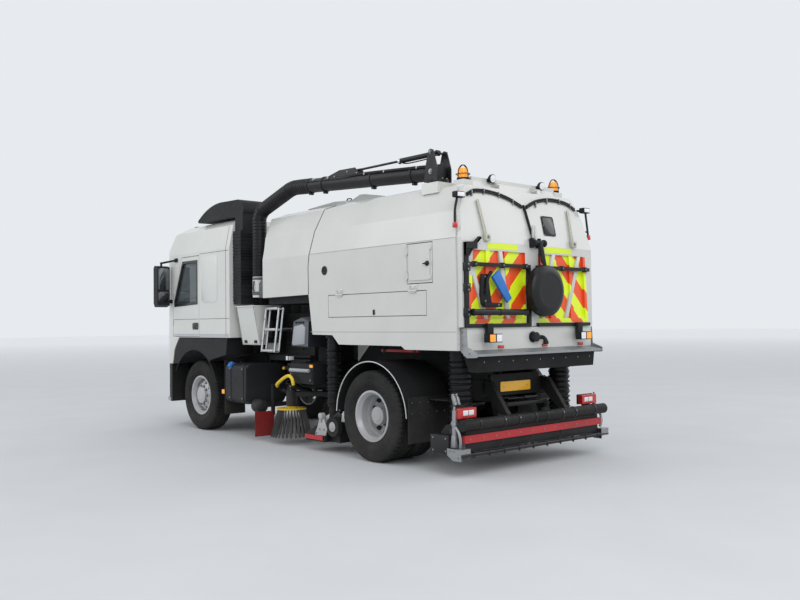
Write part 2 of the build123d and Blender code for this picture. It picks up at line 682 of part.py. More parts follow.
# Access ladder: two frames folded together, leaning out at the foot
with BuildPart() as access_ladder:
    for lean in (0.0, -70.0):
        for x in (2125.0, 2445.0):
            bar((x, 1085 + lean, 1830), (x, 1165 + lean, 1230), 15)
        for share in (0.02, 0.5, 0.98):
            y, z = 1085 + lean + 80 * share, 1830 - 600 * share
            bar((2125, y, z), (2445, y, z), 14)
    for x in (2125.0, 2445.0):
        bar((x, 1165, 1238), (x, 1095, 1238), 12)
    bar((2285, 1050, 1530), (2285, engine_half + seat_gap, 1530), 20)
save(access_ladder, "access_ladder")

# Grey moulded cover over the hydraulic pump, left side
with BuildPart() as pump_cover:
    # One row for each section: its Y and its (distance from the rear axle, Z) points
    sections = (
        (700, ((1350, 1290), (1350, 1700), (1560, 1740), (1800, 1660), (1840, 1300))),
        (1110, ((1420, 1310), (1400, 1640), (1560, 1690), (1740, 1640), (1790, 1320))),
    )
    for section_y, points in sections:
        with BuildSketch(side_plane(section_y)):
            Polygon(*[(ax(x), z) for x, z in points], align=None)
    loft()
    block(1400, 1750, rail_half - 60, 702, subframe_top + seat_gap, 1420)
save(pump_cover, "pump_cover")

# Corrugated suction hoses: one row for each, X, Y, low Z, high Z, radius
side_hose = (1000.0, 1010.0, 560.0, 1458.0, 85.0)
left_hose = (-1090.0, 860.0, 520.0, 1298.0, 122.0)
right_hose = (-1090.0, -860.0, 520.0, 1298.0, 122.0)
rib_pitch = 46.0
with BuildPart() as suction_hoses:
    for x, y, low, high, radius in (side_hose, left_hose, right_hose):
        rod_z(x, y, radius - 10, low, high)
        count = int((high - low - 30) / rib_pitch)
        for rib in range(count):
            start = low + 20 + rib * rib_pitch
            rod_z(x, y, radius, start, start + rib_pitch / 2)
        rod_z(x, y, radius + 14, high - 16, high)
save(suction_hoses, "suction_hoses")

# Rear underrun: round tube, two struts from the end beam, number board and lamp brackets
tube_x = -1470.0
tube_z = 540.0
tube_radius = 60.0
tube_half = 1230.0
strut_y = 500.0
board_half = 420.0
board_low = 768.0
board_top = 1012.0
plate_hole_y = 240.0
plate_hole_low = 975.0
plate_hole_rise = 25.0
plate_hole_radius = 3.5
with BuildPart() as rear_underrun:
    rod_y(tube_x, tube_z, tube_radius, -tube_half, tube_half)
    for s in (1, -1):
        low_y, high_y = s * strut_y - 30, s * strut_y + 30
        strut = [(frame_rear - seat_gap, 960), (frame_rear - seat_gap, 830), (tube_x + 20, tube_z - 20),
                 (tube_x - 20, tube_z + 40), (frame_rear - 110, 940)]
        side_prism(strut, high_y, low_y)
        bracket = [
            (tube_x, tube_z), (tube_x + 90, tube_z + 60), (tube_x + 150, tube_z + 60), (tube_x + 60, tube_z - 20),
        ]
        low_y, high_y = side_span(s, 1040, 1080)
        side_prism(bracket, high_y, low_y)
    block(frame_rear - 14, frame_rear - seat_gap, -board_half, board_half, board_low, board_top)
    for y in (-plate_hole_y, plate_hole_y):
        for z in (plate_hole_low, plate_hole_low + plate_hole_rise):
            rod_x(y, z, plate_hole_radius, frame_rear - 20, frame_rear, Mode.SUBTRACT)
save(rear_underrun, "rear_underrun")

# Rear nozzle: full-width housing, red guard strip, spray bar and end plates
nozzle_half = 1185.0
with BuildPart() as rear_nozzle:
    housing = [(-1060, 250), (-1060, 420), (-1150, 520), (-1330, 520), (-1440, 470), (-1440, 250)]
    side_prism(housing, nozzle_half - 40, 40 - nozzle_half)
    block(-1462, -1430, -nozzle_half, nozzle_half, 350, 430)
    rod_y(-1480, 232, 22, -1285, 1285)
    for s in (1, -1):
        low_y, high_y = side_span(s, 1140, 1285)
        side_prism([(-1500, 180), (-1500, 300), (-1300, 300), (-1300, 230), (-1380, 180)], high_y, high_y - 8)
        block(-1500, -1430, low_y, high_y, 250, 300)
        low_y, high_y = side_span(s, 355, 415)
        hanger_x = frame_rear - seat_gap
        side_prism([(-1250, 515), (-1180, 515), (hanger_x, 715), (hanger_x, 764), (-1150, 764)], high_y, low_y)
save(rear_nozzle, "rear_nozzle")

# Lamps on the chassis: headlamps, rear lamp clusters and side markers
with BuildPart() as chassis_lamps:
    for s in (1, -1):
        low_y, high_y = side_span(s, lamp_inner + seat_gap, lamp_outer - seat_gap)
        with BuildPart(mode=Mode.PRIVATE) as lens:
            extrude(plan_face(lamp_low + seat_gap, 0.0, nose_x - 15), amount=lamp_top - lamp_low - 2 * seat_gap)
            block(lamp_rear + seat_gap, nose_x, low_y, high_y, lamp_low, lamp_top, Mode.INTERSECT)
        add(lens.part)
        low_y, high_y = side_span(s, 925, 1205)
        block(-1385, -1320, low_y, high_y, 600.3, 708)
        low_y, high_y = side_span(s, 1130 + seat_gap, 1142)
        block(1285, 1345, low_y, high_y, 1045, 1080)
save(chassis_lamps, "chassis_lamps")

# Side nozzle on the left: sloped box, hose spigot, red guard strip, wheel bracket and hanger
nozzle_wheel_x = 800.0
nozzle_wheel_y = 1160.0
nozzle_wheel_z = 335.0
nozzle_pin = 12.0
with BuildPart() as side_nozzle:
    box_outline = [(760, 130), (760, 300), (900, 345), (1130, 345), (1380, 230), (1380, 130)]
    side_prism(box_outline, 1105, 830)
    side_prism([(960, 130), (960, 330), (1120, 330), (1370, 220), (1370, 130)], 1190, 1100)
    rod_z(side_hose[0], side_hose[1], side_hose[4] - 22, 330, side_hose[2] - seat_gap)
    side_prism([(990, 150), (990, 205), (1370, 205), (1370, 150)], 1204, 1185)
    side_prism([(760, 280), (760, 380), (840, 380), (900, 300)], 1112, 1095)
    rod_y(nozzle_wheel_x, nozzle_wheel_z, nozzle_pin, 1100, 1200)
    block(1165, 1235, rail_half + seat_gap, rail_half + 45, 735, 805)
    bar((1200, rail_half + 40, 765), (1200, 900, 300), 26)
save(side_nozzle, "side_nozzle")

with BuildPart() as nozzle_wheel:
    rod_y(nozzle_wheel_x, nozzle_wheel_z, 120, nozzle_wheel_y - 35, nozzle_wheel_y + 35)
    rod_y(nozzle_wheel_x, nozzle_wheel_z, nozzle_pin + run_fit, 1100, 1200, Mode.SUBTRACT)
save(nozzle_wheel, "nozzle_wheel")

# Side broom: swinging arm with its motor, and the brush turning below it
broom_x = 2000.0
broom_y = 980.0
plate_radius = 200.0
plate_z = 455.0
bristle_low = 90.0
bristle_radius = 290.0
broom_shaft_radius = 20.0
with BuildPart() as broom_arm:
    rod_z(broom_pivot_x, broom_pivot_y, 46, broom_arm_z - 58, broom_arm_z + 58)
    run = Vector(broom_x - broom_pivot_x, broom_y - broom_pivot_y, 0)
    across = Vector(-run.Y, run.X, 0).normalized() * 32
    start, end = Vector(broom_pivot_x, broom_pivot_y, 0), Vector(broom_x, broom_y, 0)
    corners = [start - across, end - across, end + across, start + across]
    flat_prism([(c.X, c.Y) for c in corners], broom_arm_z - 30, broom_arm_z + 30)
    rod_z(broom_x, broom_y, 72, plate_z + 50, broom_arm_z + 60)
    rod_z(broom_x, broom_y, broom_shaft_radius + run_fit, plate_z + 40, plate_z + 90, Mode.SUBTRACT)
    rod_z(broom_pivot_x, broom_pivot_y, broom_pin_radius + run_fit, 500, 800, Mode.SUBTRACT)
save(broom_arm, "broom_arm")

with BuildPart() as broom:
    with BuildSketch(Plane(origin=(ax(broom_x), broom_y, 0), x_dir=(1, 0, 0), z_dir=(0, -1, 0))) as section:
        Polygon((0, plate_z), (plate_radius, plate_z), (plate_radius, plate_z + 20), (70, plate_z + 30),
                (60, plate_z + 44), (broom_shaft_radius, plate_z + 44), (broom_shaft_radius, plate_z + 85),
                (0, plate_z + 85), align=None)
        Polygon((95, plate_z), (185, plate_z), (bristle_radius, bristle_low), (bristle_radius - 80, bristle_low),
                align=None)
    revolve(section.sketch, axis=Axis((ax(broom_x), broom_y, 0), (0, 0, 1)))
save(broom, "broom")

# Hopper: one section all along, cut by its side outline, hollow and open to the rear
hopper_wall = 60.0
hopper_rear = -1330.0
hopper_low = 1306.0
seam = [(1340, 1985), (1345, 2350), (1225, 3085), (1215, 3230)]
hopper_side = [
    (hopper_rear, hopper_low), (-510, hopper_low), (-450, 1345), (710, 1350), (840, 1465), (1260, 1470),
]
hopper_side = hopper_side + seam + [(-1150, 3230), (-1175, 3130), (-1320, 2580), (hopper_rear, 1980)]


def hopper_section(inset=0.0, low=hopper_low):
    """Cross section: upright sides, sides leaning in near the top, roof falling to the edges."""
    half = body_half - inset
    right = [
        (half, low), (half, 2500), (half - 60, 2800), (half - 185, 3085 - inset * 0.4),
        (720 - inset * 0.5, 3170 - inset),
    ]
    return right + [(-y, z) for y, z in reversed(right)]


hatch_outline = [(-970, 2045), (-570, 2045), (-570, 2480), (-970, 2480)]
locker_outline = [(-870, 1690), (910, 1690), (910, 1955), (-870, 1955)]
door_thick = 30.0
hinge_out = 11.6
hinge_pin_radius = 5.0
hinge_radius = 11.0
hatch_hinge_x = -566.0
locker_hinge_z = 1959.0
locker_hinges = (-700.0, 640.0)
locker_hinge_span = 80.0
hatch_hinges = (2100.0, 2380.0)
hatch_hinge_span = 60.0
tip_eye_x = -857.0
tip_eye_z = 1231.0
mast_x = -800.0
mast_y = 880.0
mast_foot_z = 3162.0
beacon_x = -1105.0
beacon_y = 790.0
beacon_half = 75.0
beacon_foot_z = 3172.0
gate_hinge_x = -1225.0
gate_hinge_z = 3140.0
gate_pin_radius = 12.0
gate_hinge_y = 330.0
port_x = 990.0
port_z = 2275.0
port_radius = 57.0

# Overhead suction boom: its line from the mast on the hopper roof to the hose behind the cab
boom_length = 3503.0
boom_rise_y = 150.0
boom_dir = Vector(boom_length, boom_rise_y, 0).normalized()
boom_normal = Vector(boom_dir.Y, -boom_dir.X, 0)
boom_pin_z = 3290.0
boom_tube_radius = 92.0
boom_eye = (1500.0, 3506.0)
ram_foot_z = 3510.0
boom_pin_radius = 20.0
ram_pin_radius = 12.0
ram_rod_radius = 14.0
ram_eye_play = 3.3
hose_foot = 2290.0
hose_x = mast_x + boom_dir.X * boom_length
hose_y = mast_y + boom_dir.Y * boom_length

with BuildPart() as hopper_shell:
    cross_prism(hopper_section(), hopper_rear - 50, 1500)
    side_prism(hopper_side, body_half + 5, -body_half - 5, Mode.INTERSECT)
    cavity = [(-1400, 1550), (-500, 1420), (700, 1420), (900, 1560), (1200, 1600), (1200, 3200), (-1400, 3200)]
    with BuildPart(mode=Mode.PRIVATE) as hollow:
        cross_prism(hopper_section(hopper_wall, 1400), -1400, 1165)
        side_prism(cavity, body_half, -body_half, Mode.INTERSECT)
    add(hollow.part, mode=Mode.SUBTRACT)
    side_prism(hatch_outline, body_half + 5, body_half - 100, Mode.SUBTRACT, grow=run_gap)
    for s in (1, -1):
        low_y, high_y = side_span(s, body_half - door_thick - 8, body_half + 5)
        side_prism(locker_outline, high_y, low_y, Mode.SUBTRACT, grow=run_gap)
        low_y, high_y = side_span(s, rail_half - 80, rail_half)
        beam = [(-1275, hopper_low + 5), (-1275, 1120), (-1240, 1100), (-1180, 1100), (-1150, subframe_top + 1),
                (1240, subframe_top + 1), (1240, 1500), (-1275, 1340)]
        side_prism(beam, high_y, low_y)
        low_y, high_y = side_span(s, 46, 62)
        ear = [
            (tip_eye_x - 60, hopper_low + 5), (tip_eye_x + 60, hopper_low + 5),
            (tip_eye_x + 38, tip_eye_z - 36), (tip_eye_x - 38, tip_eye_z - 36),
        ]
        side_prism(ear, high_y, low_y)
    rod_y(pivot_x, pivot_z, pivot_pin_radius + run_fit, -body_half, body_half, Mode.SUBTRACT)
    rod_y(tip_eye_x, tip_eye_z, tip_pin_radius, -62, 62)
    for s in (1, -1):
        for x in locker_hinges:
            hinge_y = s * (body_half + hinge_out)
            for start in (x - 20, x + locker_hinge_span):
                rod_x(hinge_y, locker_hinge_z, hinge_radius, start, start + 20)
                low_y, high_y = side_span(s, body_half - 5, body_half + hinge_out)
                block(start, start + 20, low_y, high_y, locker_hinge_z + 5, locker_hinge_z + 20)
            rod_x(hinge_y, locker_hinge_z, hinge_pin_radius, x - 20, x + locker_hinge_span + 20)
    for z in hatch_hinges:
        hinge_y = body_half + hinge_out
        for start in (z - 20, z + hatch_hinge_span):
            rod_z(hatch_hinge_x, hinge_y, hinge_radius, start, start + 20)
            block(hatch_hinge_x + 5, hatch_hinge_x + 25, body_half - 5, hinge_y, start, start + 20)
        rod_z(hatch_hinge_x, hinge_y, hinge_pin_radius, z - 20, z + hatch_hinge_span + 20)
    block(-1415, hopper_rear + 5, -1080, 1080, hopper_low, 1545)
    block(mast_x - 130, mast_x + 130, mast_y - 130, mast_y + 130, 3040, mast_foot_z)
    for s in (1, -1):
        low_y, high_y = side_span(s, beacon_y - beacon_half, beacon_y + beacon_half)
        block(beacon_x - beacon_half, beacon_x + beacon_half, low_y, high_y, 3090, beacon_foot_z)
    block(-1165, -1100, -720, 720, 3150, 3215)
    for s in (1, -1):
        low_y, high_y = side_span(s, body_half - 5, body_half + 5)
        rod_y(port_x, port_z, port_radius, low_y, high_y)
    side_prism([(380, 3165), (420, 3200), (900, 3285), (1000, 3290), (1190, 3230), (1190, 3160)], 560, -560)
    for s in (1, -1):
        for y in (s * gate_hinge_y + 48, s * gate_hinge_y - 36):
            ear = [
                (-1130, 3150), (-1130, 3190), (gate_hinge_x, 3164), (gate_hinge_x - 20, 3140), (gate_hinge_x, 3120),
            ]
            side_prism(ear, y, y - 12)
        rod_y(gate_hinge_x, gate_hinge_z, gate_pin_radius, s * gate_hinge_y - 48, s * gate_hinge_y + 48)
save(hopper_shell, "hopper_shell")

# Fan housing: the closed front section of the body, meeting the hopper at the seam
with BuildPart() as fan_housing:
    cross_prism(hopper_section(0.0, 1900), 1000, 2600)
    front = [(2430, 1972), (2430, 2650), (2480, 3060), (2440, 3230)]
    rear = [(x + seat_gap, z) for x, z in seam]
    side_prism([rear[0], *front, *reversed(rear[1:])], body_half + 5, -body_half - 5, Mode.INTERSECT)
    with BuildPart(mode=Mode.PRIVATE) as hollow:
        cross_prism(hopper_section(hopper_wall, 2040), 1440, 2365)
    add(hollow.part, mode=Mode.SUBTRACT)
    side_prism([(1400, 1880), (1400, 1990), (2380, 1990), (2380, 1880)], 1080, -1080)
    side_prism([(1262, 3160), (1262, 3236), (1500, 3250), (2100, 3215), (2110, 3160)], 600, -600)
    rod_z(hose_x, hose_y, 100, 1990, hose_foot - run_gap)
    rod_z(hose_x, hose_y, 88, 2060, hose_foot, Mode.SUBTRACT)
    block(2425, hose_x, hose_y - 60, hose_y + 60, 1995, 2045)
save(fan_housing, "fan_housing")

# Rear sill: ledge over a black skirt, with a wing plate at each end
with BuildPart() as rear_sill:
    ledge = [(-1400, 1240), (-1560, 1246), (-1560, 1272), (-1416, 1304)]
    side_prism(ledge, 1094, -1094)
    skirt_top = hopper_low - seat_gap
    skirt = [
        (-1370, 1075), (-1490, 1075), (-1510, 1250), (-1410, skirt_top), (-1290, skirt_top), (-1290, 1246),
    ]
    side_prism(skirt, 1010, -1010)
    for s in (1, -1):
        low_y, high_y = side_span(s, 1088, 1100)
        wing = [
            (-1335, 1540), (-1335, 1300), (-1425, 1230), (-1566, 1236), (-1566, 1290), (-1430, 1340), (-1418, 1540),
        ]
        side_prism(wing, high_y, low_y)
save(rear_sill, "rear_sill")

# Lamps on the hopper roof: two beacons in cages and two small work lamps
with BuildPart() as hopper_lamps:
    for s in (1, -1):
        rod_z(beacon_x, s * beacon_y, 70, beacon_foot_z + seat_gap, beacon_foot_z + 25)
        rod_z(beacon_x, s * beacon_y, 55, beacon_foot_z + 25, beacon_foot_z + 130)
    for y in (430.0, -430.0):
        block(-1190, -1165 - seat_gap, y - 45, y + 45, 3174, 3214)
save(hopper_lamps, "hopper_lamps")

# Tailgate hinged along its top edge, with recessed panels and ribs
with BuildPart() as tailgate:
    cross_prism(hopper_section(20.0, 1552), -1600, -1100)
    gate = [
        (-1332.5, 1552), (-1400, 1552), (-1400, 2470), (-1262, 3095), (-1187.5, 3095), (-1322.5, 2580),
        (-1332.5, 1980),
    ]
    side_prism(gate, body_half + 5, -body_half - 5, Mode.INTERSECT)
    for s in (1, -1):
        inner_edge, outer_edge = s * 110, s * 1000
        panel = [(inner_edge, 1640), (outer_edge, 1640), (s * 960, 2380), (inner_edge, 2380)]
        cross_prism(panel, -1430, -1372, Mode.SUBTRACT)
        for foot, head in ((340, 400), (720, 690)):
            rib = [(s * foot, 1620), (s * (foot + 60), 1620), (s * (head + 60), 2400), (s * head, 2400)]
            cross_prism(rib, -1396, -1368)
        lug = [(-1268, 3060), (-1215, 3060), (-1203, 3094), (gate_hinge_x + 22, 3135), (gate_hinge_x, 3162),
               (gate_hinge_x - 24, 3140)]
        side_prism(lug, s * gate_hinge_y + 30, s * gate_hinge_y - 30)
        low_y, high_y = side_span(s, gate_hinge_y - 31, gate_hinge_y + 31)
        rod_y(gate_hinge_x, gate_hinge_z, gate_pin_radius + run_fit, low_y, high_y, Mode.SUBTRACT)
save(tailgate, "tailgate")

# Tailgate fittings: black tube rails, hose reel under its round cover, bracket and lance
reel_y = -90.0
reel_z = 1950.0
reel_radius = 285.0
reel_rear = -1600.0
reel_rim = -1560.0
reel_front = -1470.0
gate_face = -1400.3
with BuildPart() as tailgate_fittings:
    for z in (1567.0, 2222.0):
        for low_y, high_y in ((70, 1105), (-1040, -70)):
            block(-1440, gate_face, low_y, high_y, z - 20, z + 20)
    block(-1440, gate_face, 1065, 1105, 1547, 2420)
    block(-1440, gate_face, 60, 100, 1547, 2242)
    block(-1470, gate_face, 960, 1105, 2380, 2450)
    with BuildSketch(Plane(origin=(0, reel_y, reel_z), x_dir=(1, 0, 0), z_dir=(0, -1, 0))) as lid:
        with BuildLine():
            flat = reel_radius * 0.6
            edge = (ax(reel_rim), reel_radius)
            hub = ((ax(reel_rear), 0), (ax(reel_front), 0), (ax(reel_front), reel_radius))
            Polyline((ax(reel_rear), flat), *hub, edge)
            ThreePointArc(edge, (ax(reel_rear + 12), reel_radius * 0.87), (ax(reel_rear), flat))
        make_face()
    revolve(lid.sketch, axis=Axis((0, reel_y, reel_z), (1, 0, 0)))
    block(-1475, gate_face, reel_y - 60, reel_y + 60, 1900, 2000)
save(tailgate_fittings, "tailgate_fittings")

with BuildPart() as tailgate_lamps:
    for s in (1, -1):
        low_y, high_y = side_span(s, 690, 890)
        block(-1560, -1480, low_y, high_y, 1388, 1480)
        low_y, high_y = side_span(s, 740, 830)
        block(-1480, -1440 - seat_gap, low_y, high_y, 1410, 1590)
save(tailgate_lamps, "tailgate_lamps")

# Doors in the hopper's side: upright hatch and a long locker door on each side
with BuildPart() as side_hatch:
    side_prism(hatch_outline, body_half, body_half - door_thick)
    side_prism([(-940, 2075), (-600, 2075), (-600, 2450), (-940, 2450)], body_half + 12, body_half)
    block(-930, -880, body_half, body_half + 30, 2240, 2265)
    hinge_y = body_half + hinge_out
    for z in hatch_hinges:
        low, high = z + seat_gap, z + hatch_hinge_span - seat_gap
        rod_z(hatch_hinge_x, hinge_y, hinge_radius, low, high)
        block(hatch_hinge_x - 25, hatch_hinge_x, body_half - 5, hinge_y, low, high)
        rod_z(hatch_hinge_x, hinge_y, hinge_pin_radius + run_fit, low - 1, high + 1, Mode.SUBTRACT)
save(side_hatch, "side_hatch")

for side_name, s in (("left", 1), ("right", -1)):
    with BuildPart() as locker_door:
        face, back = s * body_half, s * (body_half - door_thick)
        side_prism(locker_outline, max(face, back), min(face, back))
        low_y, high_y = side_span(s, body_half, body_half + 14)
        block(10, 32, low_y, high_y, 1705, 1765)
        hinge_y = s * (body_half + hinge_out)
        low_y, high_y = side_span(s, body_half - 5, body_half + hinge_out)
        for x in locker_hinges:
            rear, front = x + seat_gap, x + locker_hinge_span - seat_gap
            rod_x(hinge_y, locker_hinge_z, hinge_radius, rear, front)
            block(rear, front, low_y, high_y, locker_hinge_z - 25, locker_hinge_z)
            rod_x(hinge_y, locker_hinge_z, hinge_pin_radius + run_fit, rear - 1, front + 1, Mode.SUBTRACT)
    save(locker_door, f"locker_door_{side_name}")

# Boom pieces lie in one upright plane that turns with the mast
def boom_plane(left):
    """Upright plane along the boom, this far to the boom's left: local x runs forward."""
    origin = Vector(ax(mast_x), mast_y, 0) - boom_normal * left
    return Plane(origin=origin, x_dir=boom_dir, z_dir=boom_normal)


def boom_prism(points, left, right, mode=Mode.ADD):
    return prism(boom_plane(left), points, left - right, mode)


def boom_pin(u, z, radius, left, right, mode=Mode.ADD):
    with BuildSketch(boom_plane(left)) as outline:
        with Locations((u, z)):
            Circle(radius)
    return extrude(outline.sketch, amount=left - right, mode=mode)


with BuildPart() as boom_mast:
    rod_z(mast_x, mast_y, 128, mast_foot_z + seat_gap, mast_foot_z + 20)
    for left in (120, -105):
        cheek = [(-100, 3175), (100, 3175), (80, 3340), (30, 3530), (0, 3545), (-40, 3530), (-100, 3330)]
        boom_prism(cheek, left, left - 15)
    boom_pin(0, boom_pin_z, boom_pin_radius, 120, -120)
    boom_pin(0, ram_foot_z, ram_pin_radius, 120, -120)
save(boom_mast, "boom_mast")

with BuildPart() as boom_arm:
    with BuildLine(boom_plane(0)) as boom_path:
        route = [(-50, boom_pin_z - 3), (2700, 3452), (boom_length, 3190), (boom_length, 2950)]
        FilletPolyline(*route, radius=(500, 200))
    with BuildSketch(Plane(origin=boom_path.line @ 0, z_dir=boom_path.line % 0)) as tube:
        Circle(boom_tube_radius)
    sweep(tube.sketch, path=boom_path.line)
    for left in (40, -28):
        boom_prism([(1380, 3420), (1850, 3440), (1700, 3522), (1460, 3532)], left, left - 12)
    boom_pin(*boom_eye, ram_pin_radius, 40, -40)
    boom_pin(0, boom_pin_z, boom_pin_radius + run_fit, 150, -150, Mode.SUBTRACT)
save(boom_arm, "boom_arm")

with BuildPart() as boom_hose:
    rod_z(hose_x, hose_y, boom_tube_radius, hose_foot, 2950 - seat_gap)
    for rib in range(14):
        start = hose_foot + 30 + rib * 44
        rod_z(hose_x, hose_y, boom_tube_radius + 9, start, start + 22)
save(boom_hose, "boom_hose")

ram_run = Vector(boom_eye[0], boom_eye[1] - ram_foot_z)
with BuildPart() as boom_ram:
    foot = boom_plane(0).from_local_coords(Vector(0, ram_foot_z, 0))
    tip = boom_plane(0).from_local_coords(Vector(*boom_eye, 0))
    along = (tip - foot).normalized()
    with BuildSketch(Plane(origin=foot + along * 20, z_dir=along)) as barrel:
        Circle(30)
    extrude(barrel.sketch, amount=580)
    boom_pin(0, ram_foot_z, 32, 24, -24)
    with BuildSketch(Plane(origin=foot + along * 120, z_dir=along)) as bore:
        Circle(ram_rod_radius + run_fit)
    extrude(bore.sketch, amount=600, mode=Mode.SUBTRACT)
    boom_pin(0, ram_foot_z, ram_pin_radius + run_fit, 40, -40, Mode.SUBTRACT)
save(boom_ram, "boom_ram")

with BuildPart() as boom_ram_rod:
    with BuildSketch(Plane(origin=foot + along * 220, z_dir=along)) as shaft:
        Circle(ram_rod_radius)
    extrude(shaft.sketch, amount=ram_run.length - 230)
    boom_pin(*boom_eye, 26, 22, -22)
    boom_pin(*boom_eye, ram_pin_radius + ram_eye_play, 40, -40, Mode.SUBTRACT)
save(boom_ram_rod, "boom_ram_rod")

# Tipping ram between the frame and the hopper floor.  The rod's eye runs loose on its pin
tip_foot = Vector(ax(tip_foot_x), 0, tip_foot_z)
tip_eye = Vector(ax(tip_eye_x), 0, tip_eye_z)
tip_dir = (tip_eye - tip_foot).normalized()
tip_length = (tip_eye - tip_foot).length
tip_rod_radius = 30.0
tip_eye_play = 10.5
with BuildPart() as tip_ram:
    with BuildSketch(Plane(origin=tip_foot + tip_dir * 10, z_dir=tip_dir)) as barrel:
        Circle(48)
    extrude(barrel.sketch, amount=tip_length - 90)
    rod_y(tip_foot_x, tip_foot_z, 46, -40, 40)
    with BuildSketch(Plane(origin=tip_foot + tip_dir * 55, z_dir=tip_dir)) as bore:
        Circle(tip_rod_radius + run_fit)
    extrude(bore.sketch, amount=tip_length, mode=Mode.SUBTRACT)
    rod_y(tip_foot_x, tip_foot_z, tip_pin_radius + run_fit, -60, 60, Mode.SUBTRACT)
save(tip_ram, "tip_ram")

with BuildPart() as tip_ram_rod:
    with BuildSketch(Plane(origin=tip_foot + tip_dir * 60, z_dir=tip_dir)) as shaft:
        Circle(tip_rod_radius)
    extrude(shaft.sketch, amount=tip_length - 100)
    rod_y(tip_eye_x, tip_eye_z, 50, -38, 38)
    rod_y(tip_eye_x, tip_eye_z, tip_pin_radius + tip_eye_play, -60, 60, Mode.SUBTRACT)
save(tip_ram_rod, "tip_ram_rod")
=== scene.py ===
import math
import random

import bmesh
import bpy
from mathutils import Matrix, Vector


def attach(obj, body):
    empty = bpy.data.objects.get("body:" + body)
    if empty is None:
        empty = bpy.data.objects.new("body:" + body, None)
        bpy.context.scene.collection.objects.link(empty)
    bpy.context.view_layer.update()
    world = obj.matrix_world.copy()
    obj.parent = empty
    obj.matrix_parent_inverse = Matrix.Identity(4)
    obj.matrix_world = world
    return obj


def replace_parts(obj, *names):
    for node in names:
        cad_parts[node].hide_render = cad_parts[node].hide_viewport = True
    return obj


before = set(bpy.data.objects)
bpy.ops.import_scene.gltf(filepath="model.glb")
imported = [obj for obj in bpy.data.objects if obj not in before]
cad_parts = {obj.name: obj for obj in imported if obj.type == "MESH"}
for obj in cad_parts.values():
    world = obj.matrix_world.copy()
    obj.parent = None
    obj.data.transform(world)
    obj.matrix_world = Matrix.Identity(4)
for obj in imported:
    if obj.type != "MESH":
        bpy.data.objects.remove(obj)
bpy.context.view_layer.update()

# Frame values, in metres.  X places are measured from the rear axle, as on the drawing
REAR_AXLE = -2.0
FRONT_WHEEL = 4.25
BODY_HALF = 1.15
CAB_HALF = 1.245
AXLE_Z = 0.53
TYRE_RADIUS = 0.53
SIDES = (("left", 1), ("right", -1))
CHEVRON_PITCH = 0.424


def ax(x):
    """Row X of a place measured forward from the rear axle."""
    return REAR_AXLE + x


# Materials
FINISH = {}


class Surface:
    """Node tree of one finish, built up from the principled shader and kept under its name."""

    def __init__(self, name, roughness=0.5, metallic=0.0, coat=0.0, specular=0.5):
        self.material = FINISH[name] = bpy.data.materials.new(name)
        self.material.use_nodes = True
        self.tree = self.material.node_tree
        self.tree.nodes.clear()
        self.shader = self.node("ShaderNodeBsdfPrincipled", {
            "Roughness": roughness, "Metallic": metallic, "Coat Weight": coat, "Coat Roughness": 0.08,
            "Specular IOR Level": specular,
        })
        self.node("ShaderNodeOutputMaterial", {"Surface": self.shader.outputs[0]})
        self.coords = self.node("ShaderNodeTexCoord").outputs["Object"]

    def node(self, kind, inputs=None, **settings):
        """Node whose inputs take plain values, colours or the outputs of other nodes."""
        made = self.tree.nodes.new(kind)
        for key, value in settings.items():
            setattr(made, key, value)
        for key, value in (inputs or {}).items():
            self.feed(made.inputs[key], value)
        return made

    def feed(self, socket, value):
        if isinstance(value, bpy.types.NodeSocket):
            self.tree.links.new(value, socket)
        else:
            socket.default_value = (*value, 1.0) if socket.type == "RGBA" else value

    def noise(self, scale, detail=4.0, rough=0.55, stretch=None):
        """Noise value in the part's own coordinates."""
        source = self.coords
        if stretch:
            source = self.node("ShaderNodeMapping", {"Scale": stretch, "Vector": source}).outputs[0]
        inputs = {"Scale": scale, "Detail": detail, "Roughness": rough, "Vector": source}
        return self.node("ShaderNodeTexNoise", inputs).outputs["Fac"]

    def ramp(self, value, low, high, to_low=0.0, to_high=1.0):
        inputs = {"From Min": low, "From Max": high, "To Min": to_low, "To Max": to_high, "Value": value}
        return self.node("ShaderNodeMapRange", inputs, clamp=True).outputs[0]

    def math(self, kind, a, b):
        return self.node("ShaderNodeMath", {0: a, 1: b}, operation=kind).outputs[0]

    def mix(self, factor, a, b):
        return self.node("ShaderNodeMix", {"Factor": factor, 6: a, 7: b}, data_type="RGBA").outputs[2]

    def axis(self, index):
        return self.node("ShaderNodeSeparateXYZ", {0: self.coords}).outputs[index]

    def colour(self, source):
        self.feed(self.shader.inputs["Base Color"], source)

    def roughness(self, source):
        self.feed(self.shader.inputs["Roughness"], source)

    def bump(self, height, strength=0.2, distance=0.001):
        made = self.node("ShaderNodeBump", {"Strength": strength, "Distance": distance, "Height": height})
        self.feed(self.shader.inputs["Normal"], made.outputs[0])

    def dusted(self, base, dust, low, high, amount):
        """Road dust that thickens towards the ground and lies in patches."""
        height = self.ramp(self.axis(2), low, high, 1.0, 0.0)
        patches = self.ramp(self.noise(3.2, 6.0, 0.62), 0.35, 0.75, 0.25, 1.0)
        cover = self.math("MULTIPLY", self.math("MULTIPLY", height, patches), amount)
        return self.mix(cover, base, dust)


DUST = (0.2, 0.18, 0.155)


